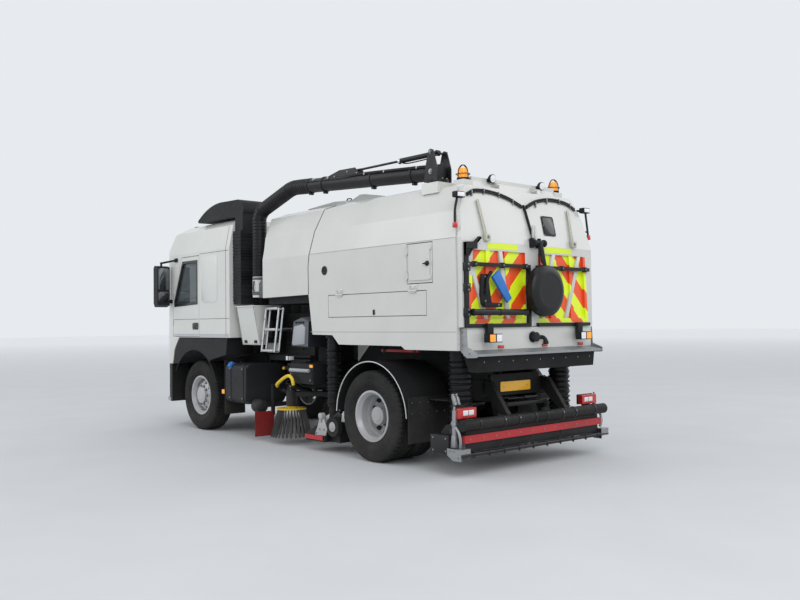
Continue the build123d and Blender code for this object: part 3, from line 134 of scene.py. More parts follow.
def worn_paint(name, base, dark, roughness=0.32, coat=0.5, dust=0.2, dust_top=1.6, specular=0.5):
    """Paint with slow shade changes, fine orange peel and dust low down."""
    s = Surface(name, roughness, 0.0, coat, specular)
    slow = s.ramp(s.noise(1.3, 3.0), 0.3, 0.7)
    shade = s.mix(slow, base, dark)
    s.colour(s.dusted(shade, DUST, 0.2, dust_top, dust))
    fine = s.noise(18.0, 8.0, 0.6)
    s.roughness(s.ramp(fine, 0.25, 0.75, roughness * 0.8, roughness * 1.35))
    s.bump(s.noise(260.0, 2.0), 0.05, 0.0006)


def moulded(name, base, light, roughness, dust, dust_top=1.5, grain=420.0, bump=0.25, specular=0.5):
    """Moulded plastic: fine leather grain and dusty haze."""
    s = Surface(name, roughness, 0.0, 0.0, specular)
    shade = s.mix(s.ramp(s.noise(2.4, 5.0), 0.3, 0.72), base, light)
    s.colour(s.dusted(shade, DUST, 0.1, dust_top, dust))
    s.roughness(s.ramp(s.noise(30.0, 6.0), 0.3, 0.7, roughness * 0.85, roughness * 1.2))
    s.bump(s.noise(grain, 3.0), bump, 0.0004)


def metal(name, base, dark, roughness=0.38, scale=14.0, spangle=0.0, dust=0.15):
    """Bare metal with brushed streaks or zinc spangle."""
    s = Surface(name, roughness, 1.0)
    streak = s.noise(scale, 6.0, 0.6, (1.0, 6.0, 6.0))
    shade = s.mix(s.ramp(streak, 0.3, 0.7), base, dark)
    if spangle:
        cells = s.node("ShaderNodeTexVoronoi", {"Scale": spangle, "Vector": s.coords})
        shade = s.mix(s.ramp(cells.outputs["Distance"], 0.0, 0.6, 0.0, 0.5), shade, dark)
    s.colour(s.dusted(shade, DUST, 0.0, 1.4, dust))
    s.roughness(s.ramp(s.noise(22.0, 5.0), 0.3, 0.7, roughness * 0.75, roughness * 1.35))
    s.bump(s.noise(90.0, 4.0), 0.12, 0.0005)


def rubber(name, base, light, roughness, dust, top=1.0):
    """Rubber with a dull haze and road dust low down."""
    s = Surface(name, roughness, 0.0, specular=0.22)
    shade = s.mix(s.ramp(s.noise(5.0, 6.0), 0.35, 0.75), base, light)
    s.colour(s.dusted(shade, DUST, 0.0, top, dust))
    s.roughness(s.ramp(s.noise(35.0, 4.0), 0.3, 0.7, roughness * 0.85, min(1.0, roughness * 1.2)))
    s.bump(s.noise(160.0, 4.0), 0.3, 0.0008)


def lens(name, base, deep, roughness=0.12, glow=0.0):
    """Lamp lens with fine moulded ribs."""
    s = Surface(name, roughness, 0.0, 0.6)
    inputs = {"Scale": 38.0, "Vector": s.coords}
    wave = s.node("ShaderNodeTexWave", inputs, wave_type="BANDS", bands_direction="DIAGONAL")
    s.colour(s.mix(s.ramp(wave.outputs["Fac"], 0.2, 0.8, 0.0, 0.6), base, deep))
    if glow:
        s.feed(s.shader.inputs["Emission Color"], base)
        s.feed(s.shader.inputs["Emission Strength"], glow)
    s.bump(wave.outputs["Fac"], 0.25, 0.0015)


def window(name, base):
    """Faintly tinted glass."""
    s = Surface(name, 0.03, specular=0.6)
    s.feed(s.shader.inputs["Transmission Weight"], 0.86)
    s.feed(s.shader.inputs["IOR"], 1.45)
    s.colour(s.mix(s.ramp(s.noise(2.0, 3.0), 0.3, 0.7), base, tuple(c * 0.8 for c in base)))
    s.bump(s.noise(1.2, 2.0), 0.02, 0.001)


def chevrons(name):
    """Slanting fluorescent bands that rise towards the middle of the tailgate, with worn film."""
    s = Surface(name, 0.38, 0.0, 0.25)
    slant = s.math("ADD", s.axis(2), s.math("ABSOLUTE", s.axis(1), 0.0))
    band = s.math("FRACT", s.math("DIVIDE", slant, CHEVRON_PITCH), 0.0)
    wear = s.math("MULTIPLY", s.noise(6.0, 6.0), 0.02)
    red = s.math("GREATER_THAN", s.math("ADD", band, wear), 0.51)
    film = s.mix(red, (0.76, 0.92, 0.015), (0.86, 0.085, 0.01))
    s.colour(s.dusted(film, DUST, 0.9, 2.0, 0.06))
    s.roughness(s.ramp(s.noise(40.0, 5.0), 0.3, 0.7, 0.3, 0.5))
    s.bump(s.noise(420.0, 2.0), 0.08, 0.0004)


worn_paint("white", (0.63, 0.635, 0.605), (0.575, 0.58, 0.55), dust=0.16)
worn_paint("body", (0.6, 0.605, 0.575), (0.545, 0.55, 0.52), dust=0.1, dust_top=2.4)
worn_paint("black", (0.009, 0.009, 0.01), (0.017, 0.017, 0.018), 0.36, 0.0, 0.06, 1.4, 0.28)
# The chassis black also serves as painted shade on undersides and inner faces of some white and silver parts
worn_paint("chassis", (0.008, 0.0085, 0.009), (0.016, 0.016, 0.017), 0.5, 0.0, 0.1, 1.3, 0.16)
worn_paint("tank", (0.014, 0.015, 0.018), (0.024, 0.025, 0.028), 0.42, 0.0, 0.1, 1.2, 0.2)
worn_paint("silver", (0.46, 0.465, 0.47), (0.34, 0.345, 0.35), 0.33, 0.3, 0.22, 1.1)
# Darker grey of the pressed crease lines: painted shade
worn_paint("painted_crease_shade", (0.4, 0.41, 0.4), (0.34, 0.35, 0.34), dust=0.15)
# Grey-blue band along the cab side: a painted reflection, a stripe of reflected shade
worn_paint("pale_band", (0.44, 0.455, 0.46), (0.4, 0.415, 0.42))
worn_paint("white_strip", (0.6, 0.61, 0.6), (0.52, 0.53, 0.52))
worn_paint("cream", (0.54, 0.53, 0.45), (0.44, 0.43, 0.36))
worn_paint("label", (0.72, 0.88, 0.02), (0.66, 0.8, 0.02), 0.4, 0.2, 0.05)
worn_paint("red_paint", (0.5, 0.012, 0.018), (0.36, 0.01, 0.014), 0.42, 0.1, 0.06, 1.0)
moulded("plastic", (0.01, 0.0105, 0.0115), (0.018, 0.0185, 0.02), 0.5, 0.08, specular=0.22)
moulded("grey", (0.085, 0.092, 0.105), (0.12, 0.128, 0.142), 0.5, 0.1, specular=0.3)
moulded("trim", (0.045, 0.046, 0.05), (0.08, 0.08, 0.085), 0.6, 0.0)
moulded("cast", (0.018, 0.018, 0.019), (0.034, 0.033, 0.032), 0.55, 0.14, 1.2, 120.0, specular=0.2)
moulded("yellow", (0.78, 0.52, 0.015), (0.66, 0.42, 0.012), 0.42, 0.08)
moulded("gloss_black", (0.012, 0.012, 0.014), (0.026, 0.026, 0.028), 0.22, 0.12, 1.5, 60.0, 0.03)
moulded("seam", (0.012, 0.012, 0.013), (0.024, 0.024, 0.025), 0.8, 0.3)
moulded("pale_plastic", (0.3, 0.32, 0.34), (0.36, 0.38, 0.4), 0.45, 0.15)
moulded("pale_cast", (0.34, 0.345, 0.34), (0.44, 0.445, 0.44), 0.5, 0.3, 0.8, 200.0)
moulded("cover", (0.007, 0.0075, 0.009), (0.013, 0.0135, 0.015), 0.6, 0.02, 1.5, 300.0, 0.12, 0.2)
moulded("blue", (0.02, 0.12, 0.42), (0.03, 0.2, 0.58), 0.4, 0.15)
moulded("dark_glass", (0.012, 0.013, 0.015), (0.02, 0.022, 0.025), 0.12, 0.05, 1.5, 20.0, 0.01)
moulded("skirt", (0.007, 0.007, 0.0075), (0.015, 0.015, 0.0155), 0.6, 0.08, specular=0.16)
moulded("bristle", (0.045, 0.043, 0.042), (0.13, 0.125, 0.12), 0.7, 0.12, 0.5, 900.0, 0.1)
moulded("yellow_hose", (0.8, 0.56, 0.02), (0.68, 0.46, 0.02), 0.5, 0.08)
moulded("seat_cloth", (0.09, 0.095, 0.105), (0.16, 0.165, 0.175), 0.9, 0.0, 1.5, 900.0, 0.5)
metal("zinc", (0.5, 0.51, 0.52), (0.33, 0.34, 0.35), 0.48, 14.0, 26.0)
metal("alloy", (0.66, 0.67, 0.68), (0.5, 0.51, 0.52), 0.35, 20.0)
metal("chrome", (0.72, 0.73, 0.74), (0.6, 0.61, 0.62), 0.12, 9.0)
metal("bolt", (0.42, 0.42, 0.43), (0.24, 0.24, 0.25), 0.42, 40.0)
metal("hinge", (0.07, 0.07, 0.075), (0.035, 0.035, 0.038), 0.4, 30.0, dust=0.05)
# Mirror glass darkened to stand for a dark reflection: painted reflection
metal("mirror", (0.2, 0.21, 0.22), (0.14, 0.15, 0.16), 0.1, 10.0, dust=0.02)
rubber("tyre", (0.01, 0.01, 0.0105), (0.022, 0.0215, 0.021), 0.72, 0.16)
rubber("hose", (0.008, 0.008, 0.009), (0.016, 0.016, 0.017), 0.36, 0.05, 1.4)
rubber("flap", (0.012, 0.012, 0.0125), (0.026, 0.0255, 0.025), 0.8, 0.2)
rubber("cable", (0.009, 0.009, 0.0095), (0.02, 0.02, 0.021), 0.5, 0.1)
rubber("red_flap", (0.27, 0.012, 0.012), (0.18, 0.012, 0.012), 0.7, 0.12, 0.7)
lens("red", (0.62, 0.015, 0.012), (0.28, 0.006, 0.006))
lens("amber", (0.95, 0.36, 0.02), (0.7, 0.2, 0.01), 0.15, 0.35)
lens("clear", (0.86, 0.87, 0.88), (0.6, 0.62, 0.64))
# The blank plate glows though it is no lamp: painted light
lens("plate", (0.9, 0.47, 0.01), (0.82, 0.4, 0.01), 0.4, 0.12)
window("glass", (0.3, 0.34, 0.35))
chevrons("chevron")

NODES = {
    "white": "cab_shell cab_door_left cab_door_right side_boxes",
    "body": "hopper_shell fan_housing tailgate side_hatch locker_door_left locker_door_right",
    "black": "boom_mast boom_arm boom_ram tailgate_fittings tip_ram",
    "chassis": "chassis_frame subframe rear_underrun",
    "plastic": "mudguards equipment_boxes air_intake mirrors rear_nozzle side_nozzle front_bumper",
    "grey": "pump_cover",
    "trim": "cab_interior",
    "cast": "front_axle rear_axle driveline knuckle_left knuckle_right sweeper_engine broom_arm",
    "tank": "side_tanks",
    "silver": "front_rim_left front_rim_right rear_rims_left rear_rims_right",
    "zinc": "rear_sill",
    "alloy": "access_ladder",
    "hinge": "boom_ram_rod",
    "chrome": "tip_ram_rod",
    "tyre": "front_tyre_left front_tyre_right rear_tyres_left rear_tyres_right nozzle_wheel",
    "hose": "suction_hoses boom_hose",
    "glass": "windscreen door_glass_left door_glass_right",
    "red": "chassis_lamps",
    "amber": "hopper_lamps",
    "clear": "tailgate_lamps",
    "yellow": "broom",
}
for finish, nodes in NODES.items():
    for node in nodes.split():
        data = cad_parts[node].data
        data.materials.clear()
        data.materials.append(FINISH[finish])


# Pieces.  Their points are written as on the drawing, with X from the rear axle
AXES = {
    "x": (1, 0, 0), "y": (0, 1, 0), "z": (0, 0, 1), "-x": (-1, 0, 0), "-z": (0, 0, -1),
    1: (0, 1, 0), -1: (0, -1, 0),
}


def way(axis):
    """Direction given by a letter, by a side (1 left, -1 right) or as a vector."""
    return Vector(AXES[axis] if isinstance(axis, (str, int)) else axis).normalized()


def lay(axis, level, a, b):
    """Place of an outline's point: (y, z) at an X, (x, z) at a Y, (x, y) at a Z, or by a function."""
    if callable(axis):
        return axis(level, a, b)
    return {"x": (level, a, b), "y": (a, level, b), "z": (a, b, level)}[axis]


def strips(rows, sides, closed=False):
    """Faces between rings of points that follow each other."""
    loops = []
    for row in range(rows if closed else rows - 1):
        a, b = row * sides, (row + 1) % rows * sides
        for side in range(sides):
            after = (side + 1) % sides
            loops.append([a + side, a + after, b + after, b + side])
    if not closed:
        loops += [list(range(sides - 1, -1, -1)), [(rows - 1) * sides + side for side in range(sides)]]
    return loops


class Piece:
    """Faces gathered in the row frame that become one object riding a body."""

    def __init__(self, name, body, finish):
        self.name = name
        self.body = body
        self.finishes = [finish]
        self.index = 0
        self.bm = bmesh.new()

    def use(self, finish):
        """The faces that follow take this finish."""
        if finish not in self.finishes:
            self.finishes.append(finish)
        self.index = self.finishes.index(finish)
        return self

    def mesh(self, points, loops, place=None):
        made = []
        for x, y, z in points:
            point = Vector((ax(x), y, z))
            made.append(self.bm.verts.new(place @ point if place else point))
        for loop in loops:
            self.bm.faces.new([made[i] for i in loop]).material_index = self.index
        return made

    def prism(self, outline, axis, low, high, soft=0.003, place=None):
        """Outline closed between two levels, with softened edges."""
        count = len(outline)
        points = [lay(axis, level, a, b) for level in sorted((low, high)) for a, b in outline]
        loops = [list(range(count)), list(range(2 * count - 1, count - 1, -1))]
        loops += [[i, i + count, (i + 1) % count + count, (i + 1) % count] for i in range(count)]
        made = self.mesh(points, loops, place)
        if soft:
            edges = {edge for vert in made for edge in vert.link_edges}
            bevel = bmesh.ops.bevel(
                self.bm, geom=list(edges), offset=soft, segments=2, profile=0.5,
                affect="EDGES", clamp_overlap=True,
            )
            for face in bevel["faces"]:
                face.material_index = self.index
        return self

    def box(self, x0, x1, y0, y1, z0, z1, soft=0.004):
        """Box between the given places; the two y may come in either order."""
        y0, y1 = sorted((y0, y1))
        return self.prism([(x0, y0), (x1, y0), (x1, y1), (x0, y1)], "z", z0, z1, soft)

    def ring(self, inner, outer, axis, low, high):
        """Frame between two outlines that have the same number of points."""
        count = len(inner)
        points = [lay(axis, level, a, b) for level in sorted((low, high)) for a, b in (*inner, *outer)]
        loops = []
        for i in range(count):
            a, b, c, d = i, (i + 1) % count, count + (i + 1) % count, count + i
            over = 2 * count
            loops += [[a, b, c, d], [over + d, over + c, over + b, over + a]]
            loops += [[a, b, over + b, over + a], [d, c, over + c, over + d]]
        self.mesh(points, loops)
        return self

    def tube(self, points, radius, sides=12, closed=False):
        """Round bar along points; radius may be one value or one for each point."""
        path = [Vector(p) for p in points]
        count = len(path)
        radii = [radius] * count if isinstance(radius, (int, float)) else radius
        made = []
        normal = None
        for i, point in enumerate(path):
            before = path[i - 1] if i or closed else path[i]
            after = path[(i + 1) % count] if i + 1 < count or closed else path[i]
            run = (after - before).normalized()
            if normal is None:
                normal = run.orthogonal().normalized()
            normal = (normal - run * normal.dot(run)).normalized()
            across = run.cross(normal)
            for side in range(sides):
                turn = 2 * math.pi * side / sides
                made.append(point + (normal * math.cos(turn) + across * math.sin(turn)) * radii[i])
        self.mesh(made, strips(count, sides, closed))
        return self

    def hose(self, points, step, radius, sides=8):
        """Round bar along a smooth line through the points."""
        return self.tube(eased(points, step), radius, sides)

    def turned(self, centre, axis, profile, sides=32):
        """Profile of (distance along the axis, radius) points turned about an axis through a centre."""
        along = way(axis)
        first = along.orthogonal().normalized()
        second = along.cross(first)
        made = []
        for place, radius in profile:
            for side in range(sides):
                turn = 2 * math.pi * side / sides
                spoke = first * math.cos(turn) + second * math.sin(turn)
                made.append(Vector(centre) + along * place + spoke * radius)
        self.mesh(made, strips(len(profile), sides))
        return self

    def collar(self, centre, axis, radius, length, rise, ease, sides=32):
        """Band round a pipe, with eased edges."""
        top = radius + rise
        profile = [(0, radius), (ease, top), (length - ease, top), (length, radius)]
        return self.turned(centre, axis, profile, sides)

    def nuts(self, places, axis, size=0.01, height=0.008):
        """Washers and hexagon heads that stand out along the axis."""
        washer = size * 1.35
        for place in places:
            self.turned(place, axis, [(0, washer), (height * 0.2, washer)], 16)
            self.turned(place, axis, [(height * 0.2, size), (height, size), (height * 1.15, size * 0.75)], 6)
        return self

    def done(self, sharp=32.0):
        bmesh.ops.recalc_face_normals(self.bm, faces=self.bm.faces)
        for face in self.bm.faces:
            face.smooth = True
        limit = math.radians(sharp)
        for edge in self.bm.edges:
            if len(edge.link_faces) == 2 and edge.calc_face_angle(0.0) > limit:
                edge.smooth = False
        mesh = bpy.data.meshes.new(self.name)
        self.bm.to_mesh(mesh)
        self.bm.free()
        for finish in self.finishes:
            mesh.materials.append(FINISH[finish])
        obj = bpy.data.objects.new(self.name, mesh)
        bpy.context.collection.objects.link(obj)
        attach(obj, self.body)
        return obj


def eased(points, step=0.02):
    """Smooth line through the given points, stepped evenly."""
    path = [Vector(p) for p in points]
    path = [path[0] * 2 - path[1], *path, path[-1] * 2 - path[-2]]
    fine = []
    for p0, p1, p2, p3 in zip(path, path[1:], path[2:], path[3:]):
        for k in range(16):
            t = k / 16
            fine.append(0.5 * (
                p1 * 2 + (p2 - p0) * t + (p0 * 2 - p1 * 5 + p2 * 4 - p3) * t * t
                + (p1 * 3 - p0 - p2 * 3 + p3) * t ** 3
            ))
    fine.append(path[-2])
    total = sum((b - a).length for a, b in zip(fine, fine[1:]))
    count = max(2, round(total / step))
    out, gone, k = [fine[0]], 0.0, 0
    for i in range(1, count):
        target = total * i / count
        while gone + (fine[k + 1] - fine[k]).length < target:
            gone += (fine[k + 1] - fine[k]).length
            k += 1
        out.append(fine[k].lerp(fine[k + 1], (target - gone) / (fine[k + 1] - fine[k]).length))
    return [*out, fine[-1]]


def fine_line(points, step):
    """Straight stretches through the points, cut into short equal steps."""
    out = []
    for a, b in zip(points, points[1:]):
        a, b = Vector(a), Vector(b)
        count = max(1, round((b - a).length / step))
        out.extend(a.lerp(b, i / count) for i in range(count))
    return [*out, Vector(points[-1])]


def grown(outline, amount):
    """Outline moved outwards by an amount along its corners."""
    points = [Vector(p) for p in outline]
    area = sum(a.x * b.y - b.x * a.y for a, b in zip(points, points[1:] + points[:1]))
    turn = 1 if area > 0 else -1
    out = []
    for i, point in enumerate(points):
        before = (point - points[i - 1]).normalized()
        after = (points[(i + 1) % len(points)] - point).normalized()
        normal = (Vector((before.y, -before.x)) + Vector((after.y, -after.x))) * turn
        out.append(tuple(point + normal * (amount / max(normal.length_squared / 2, 0.3))))
    return out


def rounded(x0, x1, z0, z1, radius, steps=6):
    """Rounded rectangle outline."""
    right, left, top, foot = x1 - radius, x0 + radius, z1 - radius, z0 + radius
    points = []
    for cx, cz, start in ((right, top, 0), (left, top, 90), (left, foot, 180), (right, foot, 270)):
        for step in range(steps + 1):
            turn = math.radians(start + 90 * step / steps)
            points.append((cx + radius * math.cos(turn), cz + radius * math.sin(turn)))
    return points


def circle(centre, radius, count, flat="z", first=0.0):
    """Points evenly round a circle that lies square to an axis."""
    x, y, z = centre
    out = []
    for i in range(count):
        turn = math.radians(first) + 2 * math.pi * i / count
        a, b = radius * math.cos(turn), radius * math.sin(turn)
        out.append({"x": (x, y + a, z + b), "y": (x + a, y, z + b), "z": (x + a, y + b, z)}[flat])
    return out


def paint(node, finish, where):
    """Faces of a CAD node whose middle and normal pass the test take another finish."""
    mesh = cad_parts[node].data
    mesh.materials.append(FINISH[finish])
    for face in mesh.polygons:
        x, y, z = face.center
        if where(x - REAR_AXLE, y, z, face.normal):
            face.material_index = len(mesh.materials) - 1


# Wheels: grooved tyres stand for the plain ones, and nuts ring the hubs
TYRE_HALF = 0.1575
TYRE_BEAD = 0.1207
BEAD_RADIUS = 0.2995
TREAD_HALF = 0.1185
GROOVE_PLACES = (-0.062, -0.021, 0.021, 0.062)
GROOVE_HALF = 0.0055
GROOVE_SLANT = 0.0015
GROOVE_DEPTH = 0.013
SLOT_DEPTH = 0.01
BLOCKS = 54
WHEEL_NUTS = 10


def tyre_profile(slot):
    """Round of the tyre from bead to bead; slot lowers the shoulder blocks."""
    low = SLOT_DEPTH if slot else 0.0
    side = [
        (TYRE_BEAD, BEAD_RADIUS), (0.128, 0.312), (0.146, 0.345), (0.155, 0.372), (TYRE_HALF, 0.392),
        (0.1562, 0.425), (0.1535, 0.432), (0.1545, 0.438), (0.15, 0.468), (0.143, 0.498),
        (0.134, 0.515 - low * 0.4), (TREAD_HALF, 0.5275 - low),
    ]
    floor = TYRE_RADIUS - GROOVE_DEPTH
    tread = []
    for place in reversed(GROOVE_PLACES):
        drop = low if abs(place) > 0.05 else 0.0
        tread += [
            (place + GROOVE_HALF, TYRE_RADIUS - (drop if place > 0 else 0.0)),
            (place + GROOVE_HALF - GROOVE_SLANT, floor),
            (place - GROOVE_HALF + GROOVE_SLANT, floor),
            (place - GROOVE_HALF, TYRE_RADIUS - (drop if place < 0 else 0.0)),
        ]
    return side + tread + [(-a, r) for a, r in reversed(side)]


def add_tyre(name, body, x, middles, node):
    """Tyres of one wheel body with rows of shoulder blocks, in place of the plain ones."""
    piece = Piece(name, body, "tyre")
    for y in middles:
        rows = []
        for block in range(BLOCKS):
            for share, slot in ((0.0, False), (0.78, False), (0.82, True), (0.96, True)):
                turn = 2 * math.pi / BLOCKS * (block + share)
                rows.append([
                    (x + r * math.sin(turn), y + a, AXLE_Z + r * math.cos(turn)) for a, r in tyre_profile(slot)
                ])
        piece.mesh([p for row in rows for p in row], strips(len(rows), len(rows[0]), closed=True))
    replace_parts(piece.done(28), node)


def add_wheel_nuts(name, body, x, y, side, ring, cap_radius, cap_depth, valve_radius, hole_shade_ring=0.0):
    """Nuts, hub cap and valve of a wheel; a hole shade ring adds dark discs of painted shade behind the hand
    holes of the rear rims.
    """
    centre = Vector((x, y, AXLE_Z))
    piece = Piece(name, body, "bolt")
    for place in circle(centre, ring, WHEEL_NUTS, "y"):
        piece.nuts([place], side, 0.0145, 0.02)
        piece.turned(place, side, [(0.02, 0.009), (0.029, 0.0085), (0.031, 0.007)], 12)
    piece.use("silver").turned(
        centre + Vector((0, side * cap_depth, 0)), side,
        [(0, cap_radius), (0.004, cap_radius - 0.004), (0.006, cap_radius * 0.72), (0.012, cap_radius * 0.66),
         (0.013, cap_radius * 0.3)], 40,
    )
    if hole_shade_ring:
        # Dark discs behind the hand holes of the rear rims: painted shade
        piece.use("chassis")
        hub = centre + Vector((0, side * 0.0295, 0))
        for place in circle(hub, hole_shade_ring, WHEEL_NUTS, "y", 18):
            radial = (Vector(place) - hub).normalized()
            leaning = Vector((0, side * 0.771, 0)) - radial * 0.636
            piece.turned(place, leaning, [(-0.002, 0.033), (0.002, 0.032)], 20)
    foot = AXLE_Z - valve_radius
    valve = [(x, y - side * 0.01, foot), (x, y + side * 0.03, foot + 0.012)]
    piece.use("plastic").tube(valve, 0.005, 8).done()


for name, s in SIDES:
    front, rear = f"front_wheel_{name}", f"rear_wheels_{name}"
    add_tyre(f"tyre_front_{name}", front, FRONT_WHEEL, (s * 1.0,), f"front_tyre_{name}")
    add_tyre(f"tyres_rear_{name}", rear, 0.0, (s * 1.095, s * 0.75), f"rear_tyres_{name}")
    add_wheel_nuts(f"wheel_nuts_front_{name}", front, FRONT_WHEEL, s * 1.095, s, 0.146, 0.122, 0.033, 0.235)
    add_wheel_nuts(f"wheel_nuts_rear_{name}", rear, 0.0, s * 0.985, s, 0.132, 0.1, 0.15, 0.2, 0.2)

# Cab
DOOR_WINDOW = [(4.868, 1.925), (4.868, 1.985), (4.6, 2.58), (4.15, 2.58), (4.15, 1.95)]
SCREEN = [(-1.08, 1.99), (-1.0, 2.63), (1.0, 2.63), (1.08, 1.99)]
NOSE_FRONT = 5.6
NOSE_RADIUS = 2.7267
SEAM_WIDTH = 0.0028


def nose_x(y, front=NOSE_FRONT):
    """X of the cab's bowed front at a place across."""
    return front - (NOSE_RADIUS - math.sqrt(NOSE_RADIUS ** 2 - y * y))


def corner_arc(y, inset=0.0):
    """X of the cab front's swept corner at a place across, on the circle through three points of its plan."""
    x1, y1, x2, y2, x3, y3 = 5.48, 0.8, 5.3102, 1.11, 5.0, CAB_HALF
    d = 2 * (x1 * (y2 - y3) + x2 * (y3 - y1) + x3 * (y1 - y2))
    a, b, c = x1 ** 2 + y1 ** 2, x2 ** 2 + y2 ** 2, x3 ** 2 + y3 ** 2
    mid_x = (a * (y2 - y3) + b * (y3 - y1) + c * (y1 - y2)) / d
    mid_y = (a * (x3 - x2) + b * (x1 - x3) + c * (x2 - x1)) / d
    return mid_x + math.sqrt((math.hypot(x1 - mid_x, y1 - mid_y) - inset) ** 2 - (y - mid_y) ** 2)


def on_screen(level, y, z):
    """Point standing this far in front of the windscreen, which is bowed and swept at its corners."""
    face = 5.14 + (2.7 - z) * 0.39 / 0.73 if z > 1.97 else 5.53 + (1.97 - z) * 0.07 / 0.22
    return (min(face, nose_x(y) if abs(y) < 0.8 else corner_arc(abs(y))) + level, y, z)


def edge_line(amount):
    """Windscreen outline moved outwards by an amount, in 24 steps to a side."""
    corners = [Vector(p) for p in grown(SCREEN, amount)]
    return [a.lerp(b, i / 24) for a, b in zip(corners, corners[1:] + corners[:1]) for i in range(24)]


for name, s in SIDES:
    face = s * CAB_HALF
    door = f"door_{name}"
    trim = Piece(f"door_trim_{name}", door, "gloss_black")
    trim.ring(grown(DOOR_WINDOW, -0.014), grown(DOOR_WINDOW, 0.026), "y", face - s * 0.022, face + s * 0.0035)
    trim.prism(rounded(4.105, 4.285, 1.54, 1.645, 0.02), "y", face + s * 0.001, face + s * 0.004, 0.001)
    trim.prism(rounded(4.126, 4.264, 1.556, 1.629, 0.012), "y", face + s * 0.0115, face + s * 0.018, 0.004)
    trim.done()

    swage = Piece(f"cab_pressings_{name}", "root", "white")
    swage.prism(rounded(3.52, 4.0, 1.945, 2.65, 0.075), "y", face - s * 0.002, face + s * 0.005, 0.0045)
    swage.use("seam")
    for z in (1.7, 2.69):
        swage.tube([(3.19, face, z), (4.06, face, z)], SEAM_WIDTH, 8)
    swage.tube([(3.275, face, 1.44), (3.275, face, 2.72), (3.275, face - s * 0.068, 3.05)], SEAM_WIDTH, 8)
    # Grey-blue band on the cab side: painted reflection
    swage.use("pale_band").box(3.19, 4.07, face - s * 0.002, face + s * 0.0012, 1.425, 1.475, 0.0).done()

    band = Piece(f"door_pressings_{name}", door, "seam")
    band.tube([(4.095, face, 1.7), (4.92, face, 1.7)], SEAM_WIDTH, 8)
    # Grey-blue band on the door: painted reflection
    band.use("pale_band").box(4.095, 4.92, face - s * 0.002, face + s * 0.0012, 1.45, 1.475, 0.0)
    band.use("hinge")
    for z in (1.6, 2.02):
        band.tube([(4.921, face - s * 0.006, z), (4.921, face - s * 0.006, z + 0.09)], 0.008, 10)
    band.done()

    mirror = Piece(f"mirror_faces_{name}", "root", "mirror")
    for low, high in ((2.17, 2.52), (1.985, 2.145)):
        mirror.prism(rounded(*sorted((s * 1.305, s * 1.485)), low, high, 0.03), "x", 4.9565, 4.962, 0.001)
    mirror.done()

    # Corner panel of the cab front, beside the grille
    reach = [0.797 + 0.361 * i / 14 for i in range(15)]
    outline = [(corner_arc(y, 0.003), s * y) for y in reach]
    outline += [(corner_arc(y, 0.003) - 0.028, s * (y - 0.012)) for y in reversed(reach)]
    Piece(f"cab_corner_{name}", "root", "white").prism(outline, "z", 1.001, 1.424, 0.0).done()

    steps = Piece(f"cab_steps_{name}", "root", "plastic")
    for z in (0.62, 0.94):
        steps.box(4.984, 5.1, s * 1.05, s * 1.232, z, z + 0.03, 0.006)
        for x in (5.0, 5.034, 5.068):
            steps.box(x, x + 0.016, s * 1.07, s * 1.212, z + 0.029, z + 0.034, 0.001)
    steps.use("pale_plastic")
    for x0, x1, y in ((4.98, 5.12, 1.236), (5.12, 5.24, 1.19)):
        steps.box(x0, x1, s * (y - 0.04), s * y, 0.402, 0.455, 0.008)
    steps.done()

Piece("windscreen_surround", "root", "gloss_black").ring(
    edge_line(-0.035), edge_line(0.012), on_screen, -0.004, 0.003).done()

wipers = Piece("wipers", "root", "plastic")
WIPER_REACH = 0.45
for y in (0.95, 0.33, -0.29):
    pivot = on_screen(0.012, y, 1.965)
    wipers.turned(pivot, "z", [(-0.012, 0.02), (0.014, 0.018), (0.018, 0.012)], 16)
    elbow, tip = on_screen(0.03, y - WIPER_REACH * 0.55, 2.055), on_screen(0.022, y - WIPER_REACH, 2.075)
    wipers.tube([pivot, elbow, tip], [0.01, 0.008, 0.005], 8)
    wipers.tube([on_screen(0.012, y - 0.02 - 0.06 * i, 2.045 + 0.0055 * i) for i in range(11)], 0.0065, 6)
wipers.done()

roof = Piece("cab_roof_lamps", "root", "plastic")
lamps = Piece("headlamp_details", "root", "clear")
front = Piece("front_trim", "root", "plastic")
for s in (1, -1):
    roof.use("plastic").box(4.66, 4.76, s * 0.93 - 0.03, s * 0.93 + 0.03, 3.148, 3.185, 0.008)
    roof.tube([(4.4, s * 0.55, 3.15), (4.4, s * 0.55, 3.2)], 0.012, 10)
    roof.use("amber").box(4.755, 4.775, s * 0.93 - 0.024, s * 0.93 + 0.024, 3.153, 3.18, 0.005)
    for y in (0.8, 0.91, 1.0):
        x = nose_x(y, 5.585) - max(0.0, y - 0.8) * 0.55 - 0.03
        lamps.turned((x, s * y, 0.89), "x", [(0, 0.046), (0.016, 0.044), (0.019, 0.03)], 24)
    front.tube([(nose_x(0.78 * i / 11, 5.5835), s * 0.78 * i / 11, 1.045) for i in range(12)], 0.012, 8)
roof.done()
lamps.done()
front.use("bolt").turned((5.538, -0.48, 0.46), "x", [(0, 0.03), (0.006, 0.031), (0.01, 0.027)], 24).done()

# Wheel arches: rubber lip, flap behind the front wheel and its side marker
ARCH_RADIUS = 0.703
GUARD_RADIUS = 0.633


def wheel_arc(x, y, radius, first, last, steps):
    """Points over a wheel between two angles in degrees, from behind it over its top to the front."""
    out = []
    for i in range(steps + 1):
        turn = math.radians(first + (last - first) * i / steps)
        out.append((x - radius * math.cos(turn), y, AXLE_Z + radius * math.sin(turn)))
    return out


